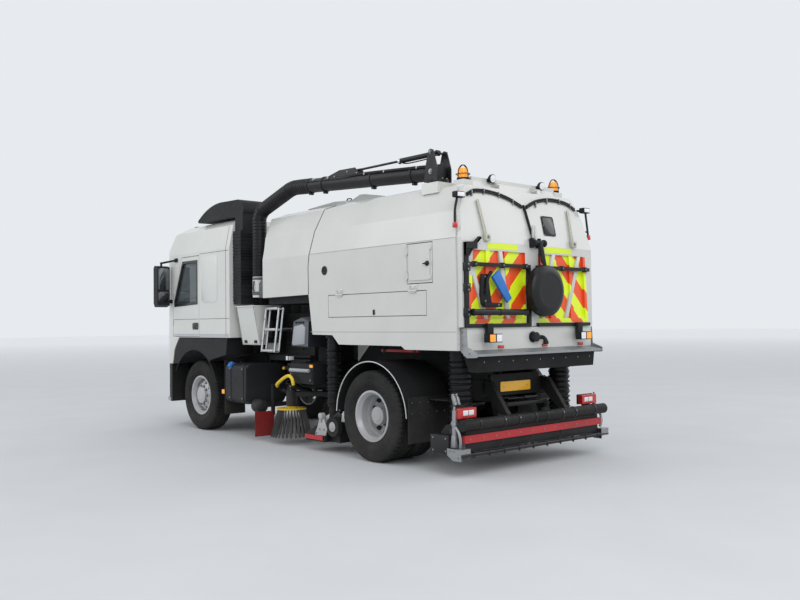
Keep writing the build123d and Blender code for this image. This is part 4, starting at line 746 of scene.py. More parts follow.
for name, s in SIDES:
    arch = Piece(f"arch_trim_{name}", "root", "plastic")
    arch.tube(wheel_arc(FRONT_WHEEL, s * 1.238, ARCH_RADIUS, 20, 150, 24), 0.008, 8)
    arch.box(3.4, 3.49, s * 1.17, s * 1.19, 0.59, 0.67, 0.003)
    arch.use("flap").box(3.395, 3.407, s * 0.86, s * 1.2, 0.3, 1.1, 0.002)
    arch.use("bolt").nuts([(3.395, s * y, z) for z in (0.95, 1.05) for y in (0.93, 1.13)], "-x", 0.008, 0.006)
    arch.use("amber").box(3.41, 3.48, s * 1.186, s * 1.204, 0.6, 0.66, 0.004).done()

    guard = Piece(f"guard_trim_{name}", "root", "white_strip")
    guard.tube(wheel_arc(0.0, s * 1.2485, GUARD_RADIUS, 2, 178, 40), 0.0065, 8)
    guard.use("flap").box(-0.652, -0.641, s * 0.6, s * 1.235, 0.27, 0.78, 0.002)
    guard.box(-1.02, -0.66, s * 0.62, s * 0.935, 0.74, 0.75, 0.002)
    places = [(-0.652, s * (0.68 + i * 0.125), z) for z in (0.6, 0.72) for i in range(5)]
    guard.use("bolt").nuts(places, "-x", 0.007, 0.005).done()

# Body sides
BODY_SECTION = ((2.5, 1.15), (2.8, 1.09), (3.085, 0.965), (3.17, 0.72))
SEAM = [(1.34, 1.985), (1.345, 2.35), (1.301, 2.62), (1.272, 2.8), (1.225, 3.085), (1.2205, 3.15)]
PORT_X = 0.99
PORT_Z = 2.275


def body_y(z):
    """Half width of the hopper section at a height."""
    for (z0, y0), (z1, y1) in zip(BODY_SECTION, BODY_SECTION[1:]):
        if z <= z1:
            return y0 + (y1 - y0) * max(0.0, z - z0) / (z1 - z0)
    return BODY_SECTION[-1][1]


PORT_CAP = [
    (-0.002, 0.058), (0.004, 0.058), (0.007, 0.054), (0.007, 0.043), (0.0062, 0.041), (0.0062, 0.012),
    (0.01, 0.01),
]
seams = Piece("body_seams", "hopper", "seam")
port = Piece("port_caps", "hopper", "plastic")
creases = Piece("hopper_creases", "hopper", "painted_crease_shade")
plates = Piece("locker_hinge_plates", "hopper", "body")
for name, s in SIDES:
    seams.tube([(p.x, s * (body_y(p.y) + 0.0005), p.y) for p in fine_line(SEAM, 0.03)], 0.0045, 8)
    port.turned((PORT_X, s * BODY_HALF, PORT_Z), s, PORT_CAP)
    port.nuts(circle((PORT_X, s * (BODY_HALF + 0.006), PORT_Z), 0.049, 6, "y"), s, 0.004, 0.004)
    y = s * (BODY_HALF + 0.0003)
    # Crease lines in a darker grey: painted shade along the pressed creases
    creases.tube([(-1.325, y, 1.505), (0.868, y, 1.505), (1.3, y, 1.505)], 0.0035, 8)
    creases.tube([(x, s * (body_y(2.502) + 0.0003), 2.502) for x in (-1.322, 1.31)], 0.0035, 8)
    for x in (-0.66, 0.68):
        plates.use("body").box(x - 0.07, x + 0.07, s * 1.149, s * 1.156, 1.985, 2.03, 0.002)
        plates.use("bolt").nuts([(x + dx, s * 1.156, 2.008) for dx in (-0.04, 0.04)], s, 0.006, 0.004)
    paint(f"locker_door_{name}", "plastic", lambda x, y, z, n: abs(y) > 1.1505 and 0.0 < x < 0.04 and z < 1.78)
    # The inner twin rims are painted dark: painted shade inside the rear wheel dish
    paint(f"rear_rims_{name}", "chassis", lambda x, y, z, n: abs(y) < 0.93)
for piece in (seams, port, creases, plates):
    piece.done()

paint("side_hatch", "plastic", lambda x, y, z, n: y > 1.1515 and -0.935 < x < -0.875 and 2.235 < z < 2.27)
hatch = Piece("hatch_handle", "hatch", "plastic")
hatch.turned((-0.905, 1.161, 2.2525), "y", [(0, 0.03), (0.006, 0.03), (0.01, 0.024), (0.018, 0.014)], 24)
hatch.tube([(-0.96, 1.186, 2.252), (-0.905, 1.187, 2.2525), (-0.858, 1.186, 2.25)], [0.006, 0.009, 0.006], 10)
hatch.use("body")
for z in (2.1, 2.42):
    hatch.box(-0.962, -0.938, 1.149, 1.166, z - 0.02, z + 0.02, 0.003)
hatch.done()

HOSE_RIB = ((0, 0), (0.005, 0.009), (0.013, 0.0145), (0.021, 0.009), (0.026, 0))
rings = Piece("suction_hose_ribs", "root", "hose")
for x, y, low, high, radius, pitch in (
    (1.0, 1.01, 0.6, 1.42, 0.083, 0.082),
    (-1.09, 0.86, 0.56, 1.27, 0.12, 0.06),
    (-1.09, -0.86, 0.56, 1.27, 0.12, 0.06),
):
    rib = [(place, radius + rise) for place, rise in HOSE_RIB]
    for i in range(int((high - low) / pitch)):
        rings.turned((x, y, low + i * pitch), "z", rib)
rings.done(60)

duct = Piece("duct_ribs", "root", "plastic")
for i in range(22):
    z = 1.99 + i * 0.042
    duct.box(2.9425, 3.14, 1.18, 1.1915, z, z + 0.018).box(2.942, 2.955, 0.905, 1.191, z, z + 0.018)
duct.done()

# Black ribbed panel over the white back wall of the cab: a dark sheet of painted shade between cab and body
back = Piece("cab_back_shade_panel", "root", "plastic").box(3.1535, 3.1692, -0.85, 0.85, 1.18, 2.06, 0.006)
for i in range(9):
    back.box(3.146, 3.156, -0.8 + i * 0.19, -0.72 + i * 0.19, 1.23, 2.01)
back.done()

# Boom: sleeve over the elbow, clamps, hydraulic lines and the ram bracket
BOOM_REACH = 3.503
BOOM_ASIDE = 0.15
BOOM_TUBE = 0.092
MAST = Vector((-0.8, 0.88, 0.0))
BOOM_RUN = Vector((BOOM_REACH, BOOM_ASIDE, 0.0)).normalized()
BOOM_LEFT = Vector((-BOOM_RUN.y, BOOM_RUN.x, 0.0))
BOOM_ROOT = 3.287
BOOM_SLOPE = (3.452 - BOOM_ROOT) / 2.75
HOSE_X, HOSE_Y, _ = MAST + BOOM_RUN * BOOM_REACH


def on_boom(left, u, z):
    """Point given by its place to the left of the boom, along the boom and by height."""
    return MAST + BOOM_RUN * u + BOOM_LEFT * left + Vector((0, 0, z))


def bent(points, radii, steps=10):
    """Line through (u, z) points with its corners rounded."""
    path = [Vector(p) for p in points]
    out = [path[0]]
    for corner, radius, before, after in zip(path[1:-1], radii, path, path[2:]):
        into = (corner - before).normalized()
        away = (after - corner).normalized()
        turn = into.angle(away)
        centre = corner + (away - into).normalized() * (radius / math.cos(turn / 2))
        first = corner - into * (radius * math.tan(turn / 2)) - centre
        sign = 1 if into.cross(away) > 0 else -1
        for step in range(steps + 1):
            angle = sign * turn * step / steps
            out.append(centre + Vector((
                first.x * math.cos(angle) - first.y * math.sin(angle),
                first.x * math.sin(angle) + first.y * math.cos(angle),
            )))
    return [*out, path[-1]]


# Parking socket of the boom hose, with its latch and bracket
socket = Piece("hose_socket_trim", "hopper", "grey")
CHEEK = [(2.425, 1.995), (2.6, 1.995), (2.6, 2.18), (2.5, 2.25), (2.428, 2.25)]
for y in (HOSE_Y - 0.0675, HOSE_Y + 0.0675):
    socket.prism(CHEEK, "y", y - 0.0075, y + 0.0075, 0.002)
socket.turned((HOSE_X, HOSE_Y, 2.02), "z", [(0, 0.1005), (0.01, 0.106), (0.04, 0.106), (0.05, 0.1005)], 40)
socket.turned((HOSE_X, HOSE_Y, 2.235), "z", [(0, 0.1005), (0.006, 0.104), (0.03, 0.104), (0.036, 0.1005)], 40)
places = [(x, HOSE_Y + 0.075, z) for z in (2.06, 2.14) for x in (2.48, 2.55)]
socket.use("bolt").nuts(places, "y", 0.008, 0.007)
latch = [(HOSE_X - 0.02, HOSE_Y + y, z) for y, z in ((0.104, 2.06), (0.118, 2.12), (0.106, 2.22))]
socket.use("plastic").tube(latch, 0.008, 10).done()

roof_gear = Piece("roof_hatch_gear", "hopper", "plastic")
HATCH_CLAMP = [(1.3, 3.234), (1.3, 3.262), (1.48, 3.272), (1.72, 3.262), (1.72, 3.232)]
for y in (0.42, -0.42):
    roof_gear.prism(HATCH_CLAMP, "y", y - 0.03, y + 0.03, 0.006)
    roof_gear.tube([(1.34, y, 3.262), (1.36, y, 3.292), (1.44, y, 3.298), (1.46, y, 3.27)], 0.008, 10)
roof_gear.done()

SLEEVE_PITCH = 0.046
SLEEVE_TOP = 3.544
line = bent([(2.3, 3.428), (2.7, 3.452), (BOOM_REACH, 3.19), (BOOM_REACH, 2.278)], (0.5, 0.2))
line = eased([on_boom(0, u, z) for u, z in line], SLEEVE_PITCH / 4)
radii = [0.102 - 0.01 * (0.5 - 0.5 * math.cos(math.pi * i / 2)) for i in range(len(line))]
sleeve = Piece("boom_sleeve", "boom", "hose").tube(line, radii, 28)
for vert in sleeve.bm.verts:
    vert.co.z = min(vert.co.z, SLEEVE_TOP)
sleeve.done(50)

gear = Piece("boom_fittings", "boom", "black")
along = (BOOM_RUN + Vector((0, 0, BOOM_SLOPE))).normalized()
for u in (0.35, 1.05, 1.98, 2.28):
    centre = on_boom(0, u, BOOM_ROOT + (u + 0.05) * BOOM_SLOPE)
    gear.turned(centre, along, [
        (0, BOOM_TUBE), (0, 0.099), (0.003, 0.101), (0.035, 0.101), (0.038, 0.099), (0.038, BOOM_TUBE),
    ], 40)
    low = centre + Vector((0, 0, -0.098)) + along * 0.019
    gear.box(low.x - 0.019, low.x + 0.019, low.y - 0.03, low.y + 0.03, low.z - 0.022, low.z + 0.004, 0.003)
for left in (0.0425, -0.0545):
    cheek = [(1.22, 3.385), (1.36, 3.535), (1.66, 3.541), (2.02, 3.462), (2.02, 3.4)]
    gear.prism(cheek, on_boom, left, left + 0.012, 0.002)
gear.prism([(1.62, 3.44), (1.6, 3.532), (1.68, 3.538), (2.01, 3.458), (2.01, 3.43)], on_boom, -0.0425, 0.0425)
gear.use("bolt")
for s in (1, -1):
    places = [on_boom(s * 0.0545, u, z) for u, z in ((1.32, 3.46), (1.5, 3.5), (1.75, 3.47), (1.93, 3.44))]
    gear.nuts(places, BOOM_LEFT * s, 0.01, 0.009)
gear.done()

BOOM_LINE = (
    (0.008, 0.1, 3.375), (0.008, 0.6, 3.408), (0.008, 1.1, 3.438), (0.008, 1.3, 3.447),
    (0.012, 1.6, 3.438), (0.012, 2.0, 3.463), (0.012, 2.25, 3.478), (0.012, 2.34, 3.48),
)
cables = Piece("boom_hydraulic_lines", "boom", "cable")
for left in (0.052, 0.074):
    drop = (left - 0.05) * 0.7
    cables.hose([on_boom(left + aside, u, z - drop) for aside, u, z in BOOM_LINE], 0.04, 0.0095, 10)
cables.use("bolt")
for u in (0.25, 0.8, 1.15, 1.85, 2.15):
    x, y, z = on_boom(0.068, u, 3.363 + (u - 0.1) * 0.0575)
    cables.box(x - 0.012, x + 0.012, y - 0.026, y + 0.026, z - 0.014, z + 0.014, 0.003)
cables.done()

mast = Piece("mast_fittings", "mast", "black")
mast.turned((MAST.x, MAST.y, 3.182), "z", [(0, 0.122), (0.004, 0.126), (0.02, 0.126), (0.024, 0.12)], 40)
mast.use("bolt").nuts(circle((MAST.x, MAST.y, 3.206), 0.112, 10, "z", 18), "z", 0.008, 0.008)
for s in (1, -1):
    for z, size in ((3.29, 0.022), (3.51, 0.016)):
        mast.nuts([on_boom(s * 0.12, 0, z)], BOOM_LEFT * s, size, 0.014)
mast.done()

RAM_START = on_boom(0, 0, 3.51)
ram_way = (on_boom(0, 1.5, 3.5) - RAM_START).normalized()
ram = Piece("boom_ram_collar", "boom_barrel", "chrome")
collar = [(0, 0.033), (0.004, 0.035), (0.03, 0.035), (0.034, 0.031), (0.036, 0.018)]
ram.turned(RAM_START + ram_way * 0.585, ram_way, collar, 28)
under = ((0.56, -0.03), (0.45, -0.045), (0.12, -0.042))
line = [RAM_START + ram_way * u + Vector((0, 0, z)) for u, z in under]
ram.use("cable").hose(line, 0.03, 0.007, 10).done()

# Beacon cages, work lamps and corner lamps on the hopper's rear edge
CAGE_FOOT = 3.178
CAGE_RADIUS = 0.078
CAGE_RISE = 0.118
ARC = [math.pi * i / 16 for i in range(17)]
cages = Piece("beacon_cages", "hopper", "black")
for s in (1, -1):
    x, y = -1.105, s * 0.79
    for dx, dy in ((CAGE_RADIUS, 0), (0, CAGE_RADIUS)):
        hoop = []
        for turn in ARC:
            share = math.cos(turn)
            hoop.append((x + dx * share, y + dy * share, CAGE_FOOT + 0.045 + CAGE_RISE * math.sin(turn)))
        cages.tube([(x + dx, y + dy, CAGE_FOOT), *hoop, (x - dx, y - dy, CAGE_FOOT)], 0.0055, 8)
    cages.tube(circle((x, y, CAGE_FOOT + 0.06), CAGE_RADIUS, 24), 0.005, 8, closed=True)
cages.done()
paint("hopper_lamps", "plastic", lambda x, y, z, n: z < 3.199 and abs(y) > 0.6 or abs(y) < 0.6)

lamps = Piece("work_lamps", "hopper", "plastic")
LAMP_WAY = (-1, 0, -0.15)
LAMP_BOWL = [(-0.02, 0.03), (0.0, 0.046), (0.03, 0.05), (0.034, 0.047)]
LAMP_GLASS = [(0, 0.043), (0.005, 0.04), (0.008, 0.028)]
for s in (1, -1):
    lamps.use("plastic").turned((-1.19, s * 0.43, 3.215), LAMP_WAY, LAMP_BOWL, 28)
    lamps.box(-1.375, -1.3, s * 1.035, s * 1.165, 2.925, 2.99, 0.01)
    lamps.tube([(-1.26, s * 1.0, 2.955), (-1.31, s * 1.06, 2.955)], 0.014, 10)
    line = [(-1.335, s * 1.12, 2.93), (-1.33, s * 1.15, 2.8), (-1.338, s * 1.162, 2.66)]
    lamps.hose(line, 0.03, 0.013, 10)
    lamps.tube([(-1.31, s * 1.135, 2.7), (-1.338, s * 1.158, 2.7)], 0.01, 8)
    lamps.use("clear").turned((-1.2235, s * 0.43, 3.21), LAMP_WAY, LAMP_GLASS, 28)
    lamps.box(-1.38, -1.372, s * 1.048, s * 1.152, 2.935, 2.98, 0.003)
    lamps.use("red").box(-1.362, -1.32, s * 1.14, s * 1.185, 2.6, 2.66, 0.008)
lamps.done()

# Tailgate and rear end
GATE_FACE = -1.4
GATE_KINK = 2.47


def on_gate(level, y, z):
    """Point standing this far behind the tailgate's outer face, which leans forward above the kink."""
    return (GATE_FACE + max(0.0, z - GATE_KINK) * 0.138 / 0.625 - level, y, z)


paint("tailgate", "chevron", lambda x, y, z, n: z < 2.375 and (
    abs(y) < 1.01 and (-1.397 < x < -1.3715 or -1.3995 < x < -1.3725 and (abs(y) > 0.955 or z < 1.645))))
boards = Piece("board_films", "gate", "chevron")
for outline in (
    [(0.112, 1.6395), (1.0005, 1.6395), (0.9755, 2.1), (1.06, 2.1), (1.06, 1.59), (0.112, 1.59)],
    [(-0.112, 1.6395), (-1.0005, 1.6395), (-0.9605, 2.378), (-1.0, 2.378), (-1.05, 1.59), (-0.112, 1.59)],
):
    boards.prism(outline, "x", -1.401, -1.4003, 0.0)
boards.use("body")
for outline in (
    [(0.374, 1.6405), (0.432, 1.6405), (0.55, 2.3795), (0.492, 2.3795)],
    [(0.731, 1.6405), (0.79, 1.6405), (0.9745, 2.119), (0.9665, 2.254)],
    [(-0.17, 1.6405), (-0.228, 1.6405), (-0.432, 2.3795), (-0.374, 2.3795)],
    [(-0.604, 1.6405), (-0.662, 1.6405), (-0.917, 2.3795), (-0.859, 2.3795)],
):
    boards.prism(outline, "x", -1.399, -1.3715, 0.002)
boards.done()

labels = Piece("blank_labels", "gate", "label")
for low, high in ((0.235, 0.735), (-0.735, -0.235)):
    labels.prism(rounded(low, high, 2.398, 2.462, 0.006, 3), on_gate, 0.0, 0.0016, 0.0)
labels.done()

vent = Piece("gate_window", "gate", "plastic")
vent.prism(rounded(-0.485, -0.265, 2.6, 2.835, 0.022), on_gate, 0.0, 0.008, 0.003)
vent.use("dark_glass").prism(rounded(-0.465, -0.285, 2.62, 2.815, 0.016), on_gate, 0.006, 0.0105, 0.001)
places = [on_gate(0.008, y, z) for y in (-0.475, -0.275) for z in (2.61, 2.72, 2.825)]
vent.use("bolt").nuts(places, (-1, 0, 0.2), 0.005, 0.003).done()

loom = Piece("gate_wiring", "gate", "cable")
for offset in (0.0, 0.022):
    for line in (
        ((0.94, 2.99), (0.8, 3.045), (0.55, 3.05), (0.28, 3.005), (0.06, 2.925)),
        ((-0.94, 2.97), (-0.78, 3.035), (-0.5, 3.055), (-0.22, 3.01), (-0.02, 2.925)),
    ):
        loom.hose([on_gate(0.016, y, z - offset) for y, z in line], 0.03, 0.011)
line = ((0.03, 2.935), (0.012, 2.86), (-0.005, 2.74), (-0.02, 2.64), (-0.03, 2.56))
loom.hose([on_gate(0.017, y, z) for y, z in line], 0.03, 0.015).use("bolt")
struts = Piece("gate_struts", "gate", "cream")
for s in (1, -1):
    for across, z in ((0.86, 3.012), (0.66, 3.048), (0.42, 3.032), (0.2, 2.97)):
        x, y, z = on_gate(0.006, s * across, z)
        loom.box(x - 0.022, x + 0.004, y - 0.008, y + 0.008, z - 0.045, z + 0.022, 0.003)
    struts.use("cream")
    for top, high, foot in ((0.78, 2.94, 0.745), (0.8, 2.93, 0.77)):
        struts.tube([on_gate(0.02, s * top, high), on_gate(0.024, s * foot, 2.56)], 0.009, 10)
    struts.box(-1.44, -1.398, s * 0.715, s * 0.795, 2.478, 2.56, 0.006)
    struts.use("bolt").nuts([(-1.44, s * 0.755, 2.52)], "-x", 0.014, 0.012)
loom.done()
struts.done()

reel = Piece("reel_roller", "gate", "plastic")
for y in (-0.115, 0.005):
    reel.box(-1.452, -1.398, y, y + 0.03, 2.44, 2.55)
reel.turned((-1.452, -0.175, 2.495), "y", [
    (0, 0.022), (0.004, 0.042), (0.03, 0.042), (0.036, 0.03), (0.06, 0.03), (0.17, 0.03), (0.176, 0.042),
    (0.202, 0.042), (0.206, 0.022),
], 28)
strap = [(-0.09, 2.5), (-0.045, 2.5), (-0.06, 2.28), (-0.11, 2.24), (-0.16, 2.24)]
reel.prism(strap, "x", -1.492, -1.482, 0.002).box(-1.484, -1.47, -0.055, -0.035, 2.235, 2.49, 0.002)
reel.use("body").box(-1.425, -1.395, -0.07, -0.01, 2.55, 2.7, 0.01)
reel.tube([(-1.425, -0.04, 2.69), (-1.432, -0.04, 2.6), (-1.44, -0.04, 2.52)], 0.013).done()

COVER_RADIUS = 0.287
hem = circle((-1.487, -0.09, 1.95), COVER_RADIUS, 48, "x")
hem = [(x - 0.003 * math.sin(math.pi * i / 8), y, z) for i, (x, y, z) in enumerate(hem)]
Piece("reel_cover_hem", "gate", "cover").tube(hem, 0.0065, 8, closed=True).done()

# Lance, its holder and the tube it stows in
LANCE_PIVOT = Vector((ax(-1.45), 0.565, 1.985))
LANCE_TILT = math.radians(-36)
tilt = Matrix.Translation(LANCE_PIVOT) @ Matrix.Rotation(LANCE_TILT, 4, "X") @ Matrix.Translation(-LANCE_PIVOT)
grip = [(0.52, 1.8), (0.61, 1.8), (0.618, 1.95), (0.64, 2.165), (0.5, 2.165), (0.512, 1.95)]
holder = [(0.7, 1.79), (0.86, 1.79), (0.88, 1.9), (0.86, 2.12), (0.76, 2.12), (0.735, 1.95)]
lance = Piece("lance", "gate", "blue").prism(grip, "x", -1.47, -1.436, 0.01, tilt).use("plastic")
lance.tube([(-1.452, 0.735, 2.145), (-1.452, 0.8, 2.06), (-1.452, 0.815, 1.9)], [0.02, 0.018, 0.016])
lance.prism(holder, "x", -1.432, -1.404, 0.006).box(-1.45, -1.404, 0.56, 0.84, 1.765, 1.812, 0.006)
places = [(-1.433, 0.81, 2.09), (-1.433, 0.81, 1.95), (-1.433, 0.81, 1.83), (-1.45, 0.62, 1.788)]
lance.use("bolt").nuts(places, "-x", 0.008, 0.007).done()

stow = Piece("stow_tube", "gate", "black")
stow.turned((-1.47, 0.185, 1.71), "y", [
    (0, 0.028), (0.003, 0.036), (0.03, 0.036), (0.032, 0.033), (0.42, 0.033), (0.422, 0.038), (0.452, 0.038),
    (0.454, 0.033), (0.83, 0.033), (0.832, 0.038), (0.862, 0.038), (0.865, 0.03),
])
for y in (0.3, 0.9):
    stow.box(-1.462, -1.398, y, y + 0.045, 1.69, 1.73)
stow.done()

# Left arm bracket and frame corner plates
arm = Piece("gate_frame_brackets", "gate", "black")
bracket = [
    (0.962, 2.452), (1.105, 2.452), (1.105, 2.3), (1.06, 2.3), (1.02, 2.36), (0.9, 2.52), (0.86, 2.5),
]
arm.prism(bracket, "x", -1.452, -1.408, 0.006)
for z in (2.2, 1.98, 1.72):
    arm.use("black").box(-1.452, -1.4, 1.05, 1.118, z - 0.055, z + 0.035, 0.005)
    arm.use("bolt").nuts([(-1.452, 1.084, z - 0.035), (-1.452, 1.084, z + 0.015)], "-x", 0.009)
for y in (0.14, 0.52, 0.96, -0.14, -0.52, -0.96):
    arm.use("black").box(-1.446, -1.4, y - 0.022, y + 0.022, 2.192, 2.252)
    arm.use("bolt").nuts([(-1.446, y, 2.222)], "-x", 0.007, 0.006)
arm.done()

# Lower beam: coupling, markers and amber and clear lamps
coupling = Piece("wash_coupling", "hopper", "plastic")
coupling.turned((-1.414, 0.02, 1.432), "-x", [
    (0, 0.062), (0.01, 0.064), (0.014, 0.046), (0.036, 0.044), (0.04, 0.054), (0.066, 0.054), (0.07, 0.04),
])
for y in (0.08, -0.04):
    coupling.box(-1.478, -1.452, y - 0.014, y + 0.014, 1.418, 1.446)
line = [(-1.41, -0.115, 1.425), (-1.45, -0.118, 1.425), (-1.475, -0.13, 1.4), (-1.478, -0.135, 1.37)]
coupling.hose(line, 0.015, 0.024, 16)
cap = [(-0.01, 0.03), (0, 0.032), (0.024, 0.032), (0.028, 0.026)]
coupling.turned((-1.478, -0.135, 1.375), (0, -0.1, -1), cap, 24).use("red")
for y in (0.56, -0.19, -0.86):
    coupling.box(-1.428, -1.412, y - 0.045, y + 0.045, 1.318, 1.352)
coupling.done()

paint("tailgate_lamps", "plastic", lambda x, y, z, n: True)
pods = Piece("rear_lamp_lenses", "gate", "amber")
tails = Piece("tail_lamp_inserts", "root", "clear")
for s in (1, -1):
    for finish, inner in (("amber", 0.8), ("clear", 0.696)):
        pods.use(finish).box(-1.5645, -1.559, s * inner, s * (inner + 0.084), 1.396, 1.472, 0.002)
        for y in (inner + 0.014, inner + 0.042, inner + 0.07):
            for z in (1.408, 1.434, 1.46):
                pods.turned((-1.564, s * y, z), "-x", [(0, 0.011), (0.002, 0.009), (0.0028, 0.004)], 10)
    tails.use("clear")
    for inner in (0.965, 1.05):
        tails.box(-1.3892, -1.384, s * inner, s * (inner + 0.075), 0.628, 0.682, 0.002)
        for y in (inner + 0.014, inner + 0.0375, inner + 0.061):
            for z in (0.642, 0.668):
                tails.turned((-1.3888, s * y, z), "-x", [(0, 0.01), (0.002, 0.008), (0.003, 0.003)], 10)
    tails.use("plastic").box(-1.33, -1.3, s * 0.918, s * 1.212, 0.595, 0.715, 0.008)
    tails.box(-1.36, -1.3, s * 1.01, s * 1.11, 0.575, 0.605)
pods.done()
tails.done()
paint("chassis_lamps", "clear", lambda x, y, z, n: x > 5.0)
paint("chassis_lamps", "amber", lambda x, y, z, n: 1.2 < x < 1.4)

# Sill with its bolts and the hazard strip under the skirt, and the blank number plate
sill = Piece("sill_details", "hopper", "bolt")
for s in (1, -1):
    sill.nuts([(-1.36, s * 1.1, 1.5), (-1.36, s * 1.1, 1.36), (-1.46, s * 1.1, 1.275)], s, 0.009, 0.007)
sill.nuts([(-1.5, -0.92 + i * 0.23, 1.184) for i in range(9)], (-1, 0, -0.2), 0.008, 0.006).done()
paint("rear_sill", "skirt", lambda x, y, z, n: abs(y) < 1.012 and (z < 1.245 or (x > -1.5 and z < 1.2455)))

# Blank plate in a faintly glowing finish: painted light
plate = Piece("blank_number_plate", "root", "plate")
plate.prism(rounded(-0.26, 0.26, 0.812, 0.923, 0.01, 3), "x", -1.138, -1.1345, 0.0008)
plate.use("bolt").nuts([(-1.138, -0.2, 0.868), (-1.138, 0.2, 0.868)], "-x", 0.005, 0.0025).done()

# Tube clamps, the spray gear and the lift gear of the rear nozzle
UNDERRUN_X = -1.47
UNDERRUN_Z = 0.54
clamps = Piece("underrun_clamps", "root", "black")
for y in (-1.0, -0.62, -0.38, -0.1, 0.1, 0.38, 0.62, 1.0):
    clamps.collar((UNDERRUN_X, y - 0.014, UNDERRUN_Z), "y", 0.0605, 0.028, 0.0055, 0.002, 36)
for s in (1, -1):
    cap = [(0, 0.05), (0.001, 0.0575), (0.007, 0.0575), (0.0078, 0.03)]
    clamps.turned((UNDERRUN_X, s * 1.222, UNDERRUN_Z), s, cap, 36)
places = [(-1.532, y, 0.56) for y in (-0.62, -0.38, 0.38, 0.62)]
clamps.use("bolt").nuts(places, (-1, 0, 0.2), 0.008, 0.005).done()

paint("rear_nozzle", "red_paint", lambda x, y, z, n: x < -1.429 and 0.345 < z < 0.435 and abs(y) < 1.19)
paint("rear_nozzle", "hinge", lambda x, y, z, n: x < -1.4585 and z < 0.256)
paint("rear_nozzle", "zinc", lambda x, y, z, n: abs(y) > 1.14 and z < 0.302)
spray = Piece("spray_gear", "root", "hinge")
for i in range(10):
    y = -1.08 + i * 0.24
    spray.collar((-1.48, y - 0.016, 0.232), "y", 0.0225, 0.032, 0.0045, 0.002, 20)
    spray.turned((-1.486, y, 0.214), (-0.3, 0, -1), [(0, 0.01), (0.016, 0.01), (0.02, 0.006)], 10)
spray.use("cable")
for y in (0.62, 0.15, -0.4):
    line = [(-1.47, y, 0.335), (-1.5, y + 0.03, 0.31), (-1.5, y + 0.1, 0.262), (-1.484, y + 0.12, 0.245)]
    spray.hose(line, 0.015, 0.008)
line = [(-1.492, y, 0.262 + 0.006 * math.sin(9 * y)) for y in (-0.95, -0.6, -0.2, 0.2, 0.6, 0.95)]
spray.hose(line, 0.05, 0.007)
spray.use("bolt").nuts([(-1.462, -1.1 + i * 0.2, 0.39) for i in range(12)], "-x", 0.007, 0.005)
lift = Piece("nozzle_lift_gear", "root", "zinc")
LIFT_RAM = [
    (0, 0.026), (0.1, 0.026), (0.104, 0.034), (0.15, 0.034), (0.155, 0.024), (0.26, 0.024), (0.262, 0.012),
    (0.3, 0.012),
]
for s in (1, -1):
    y = s * 1.215
    places = [(x, s * 1.285, z) for x, z in ((-1.46, 0.215), (-1.4, 0.275), (-1.34, 0.275))]
    spray.nuts(places, s, 0.009, 0.006)
    lift.use("zinc").turned((-1.345, y, 0.43), "z", LIFT_RAM, 24)
    ear = [(-1.375, 0.3), (-1.3, 0.3), (-1.315, 0.43), (-1.375, 0.43)]
    lift.prism(ear, "y", y - 0.02, y + 0.02, 0.004)
    line = [(-1.36, y, 0.52), (-1.42, y + s * 0.015, 0.47), (-1.44, y + s * 0.01, 0.38), (-1.425, y, 0.31)]
    lift.hose(line, 0.02, 0.016, 12)
    lift.use("black").box(-1.29, -1.02, s * 1.145, s * 1.255, 0.225, 0.425, 0.006)
    places = [(x, s * 1.255, z) for x in (-1.25, -1.06) for z in (0.26, 0.39)]
    lift.use("bolt").nuts(places, s, 0.008, 0.006)
spray.done()
lift.use("zinc")
for y in (0.9, 0.955, 1.01):
    stem = [(0, 0.02), (0.004, 0.024), (0.1, 0.024), (0.104, 0.018), (0.125, 0.018)]
    lift.turned((-1.16, y, 0.715), (0.25, 0.1, 1), stem, 20)
lift.use("black").box(-1.345, -1.285, 1.14, 1.23, 0.44, 0.5)
lift.box(-1.2, -1.12, 0.86, 1.04, 0.69, 0.72).box(-1.17, -1.12, 0.555, 0.88, 0.69, 0.72).done()

bay = Piece("rear_bay_lines", "root", "cable")
for line in (
    ((-1.12, 0.34, 0.745), (-1.19, 0.18, 0.738), (-1.205, -0.1, 0.702)),
    ((-1.12, 0.26, 0.74), (-1.215, 0.06, 0.735), (-1.225, -0.3, 0.702)),
    ((-1.12, -0.34, 0.745), (-1.2, -0.3, 0.74), (-1.22, -0.12, 0.702)),
):
    bay.hose(line, 0.02, 0.011)
bay.use("black").box(-1.29, -1.16, -0.36, 0.32, 0.655, 0.7, 0.006)
for y in (0.365, -0.405):
    bay.box(-1.27, -1.19, y, y + 0.04, 0.6, 0.7)
rod = [(0, 0.016), (0.004, 0.022), (0.22, 0.022), (0.224, 0.01), (0.5, 0.01)]
bay.use("hinge").turned((-1.225, -0.26, 0.735), "y", rod, 20).done()

# Side gear between the axles: tanks, boxes, pump cover, ladder, valve block and work lamp
CAP_WAY = (0, 0.75, 0.66)
paint("side_tanks", "blue", lambda x, y, z, n: abs(x - 3.24) < 0.05 and y > 1.13 and z > 0.98)
tank = Piece("tank_fittings", "root", "blue")
cap = [(-0.01, 0.04), (0.012, 0.046), (0.04, 0.046), (0.048, 0.036), (0.05, 0.012)]
tank.turned((3.24, 1.165, 1.01), CAP_WAY, cap, 28)
for x, _, _ in circle((3.24, 0, 0), 0.042, 6):
    tank.box(x - 0.005, x + 0.005, 1.186, 1.204, 1.022, 1.04, 0.002)
tank.use("plastic").turned((3.24, 1.15, 0.996), CAP_WAY, [(0, 0.055), (0.01, 0.052), (0.014, 0.044)], 28)
tank.box(2.77, 2.8, 1.205, 1.222, 0.52, 1.01)
places = [(x, 1.216, z) for x in (2.885, 3.225) for z in (0.56, 0.975)]
tank.use("bolt").nuts(places, "y", 0.01, 0.01)
dome = [(-0.008, 0.094), (0, 0.092), (0.012, 0.078), (0.024, 0.05), (0.03, 0.018)]
tank.use("tank").turned((2.552, 1.09, 0.47), "-x", dome).done()

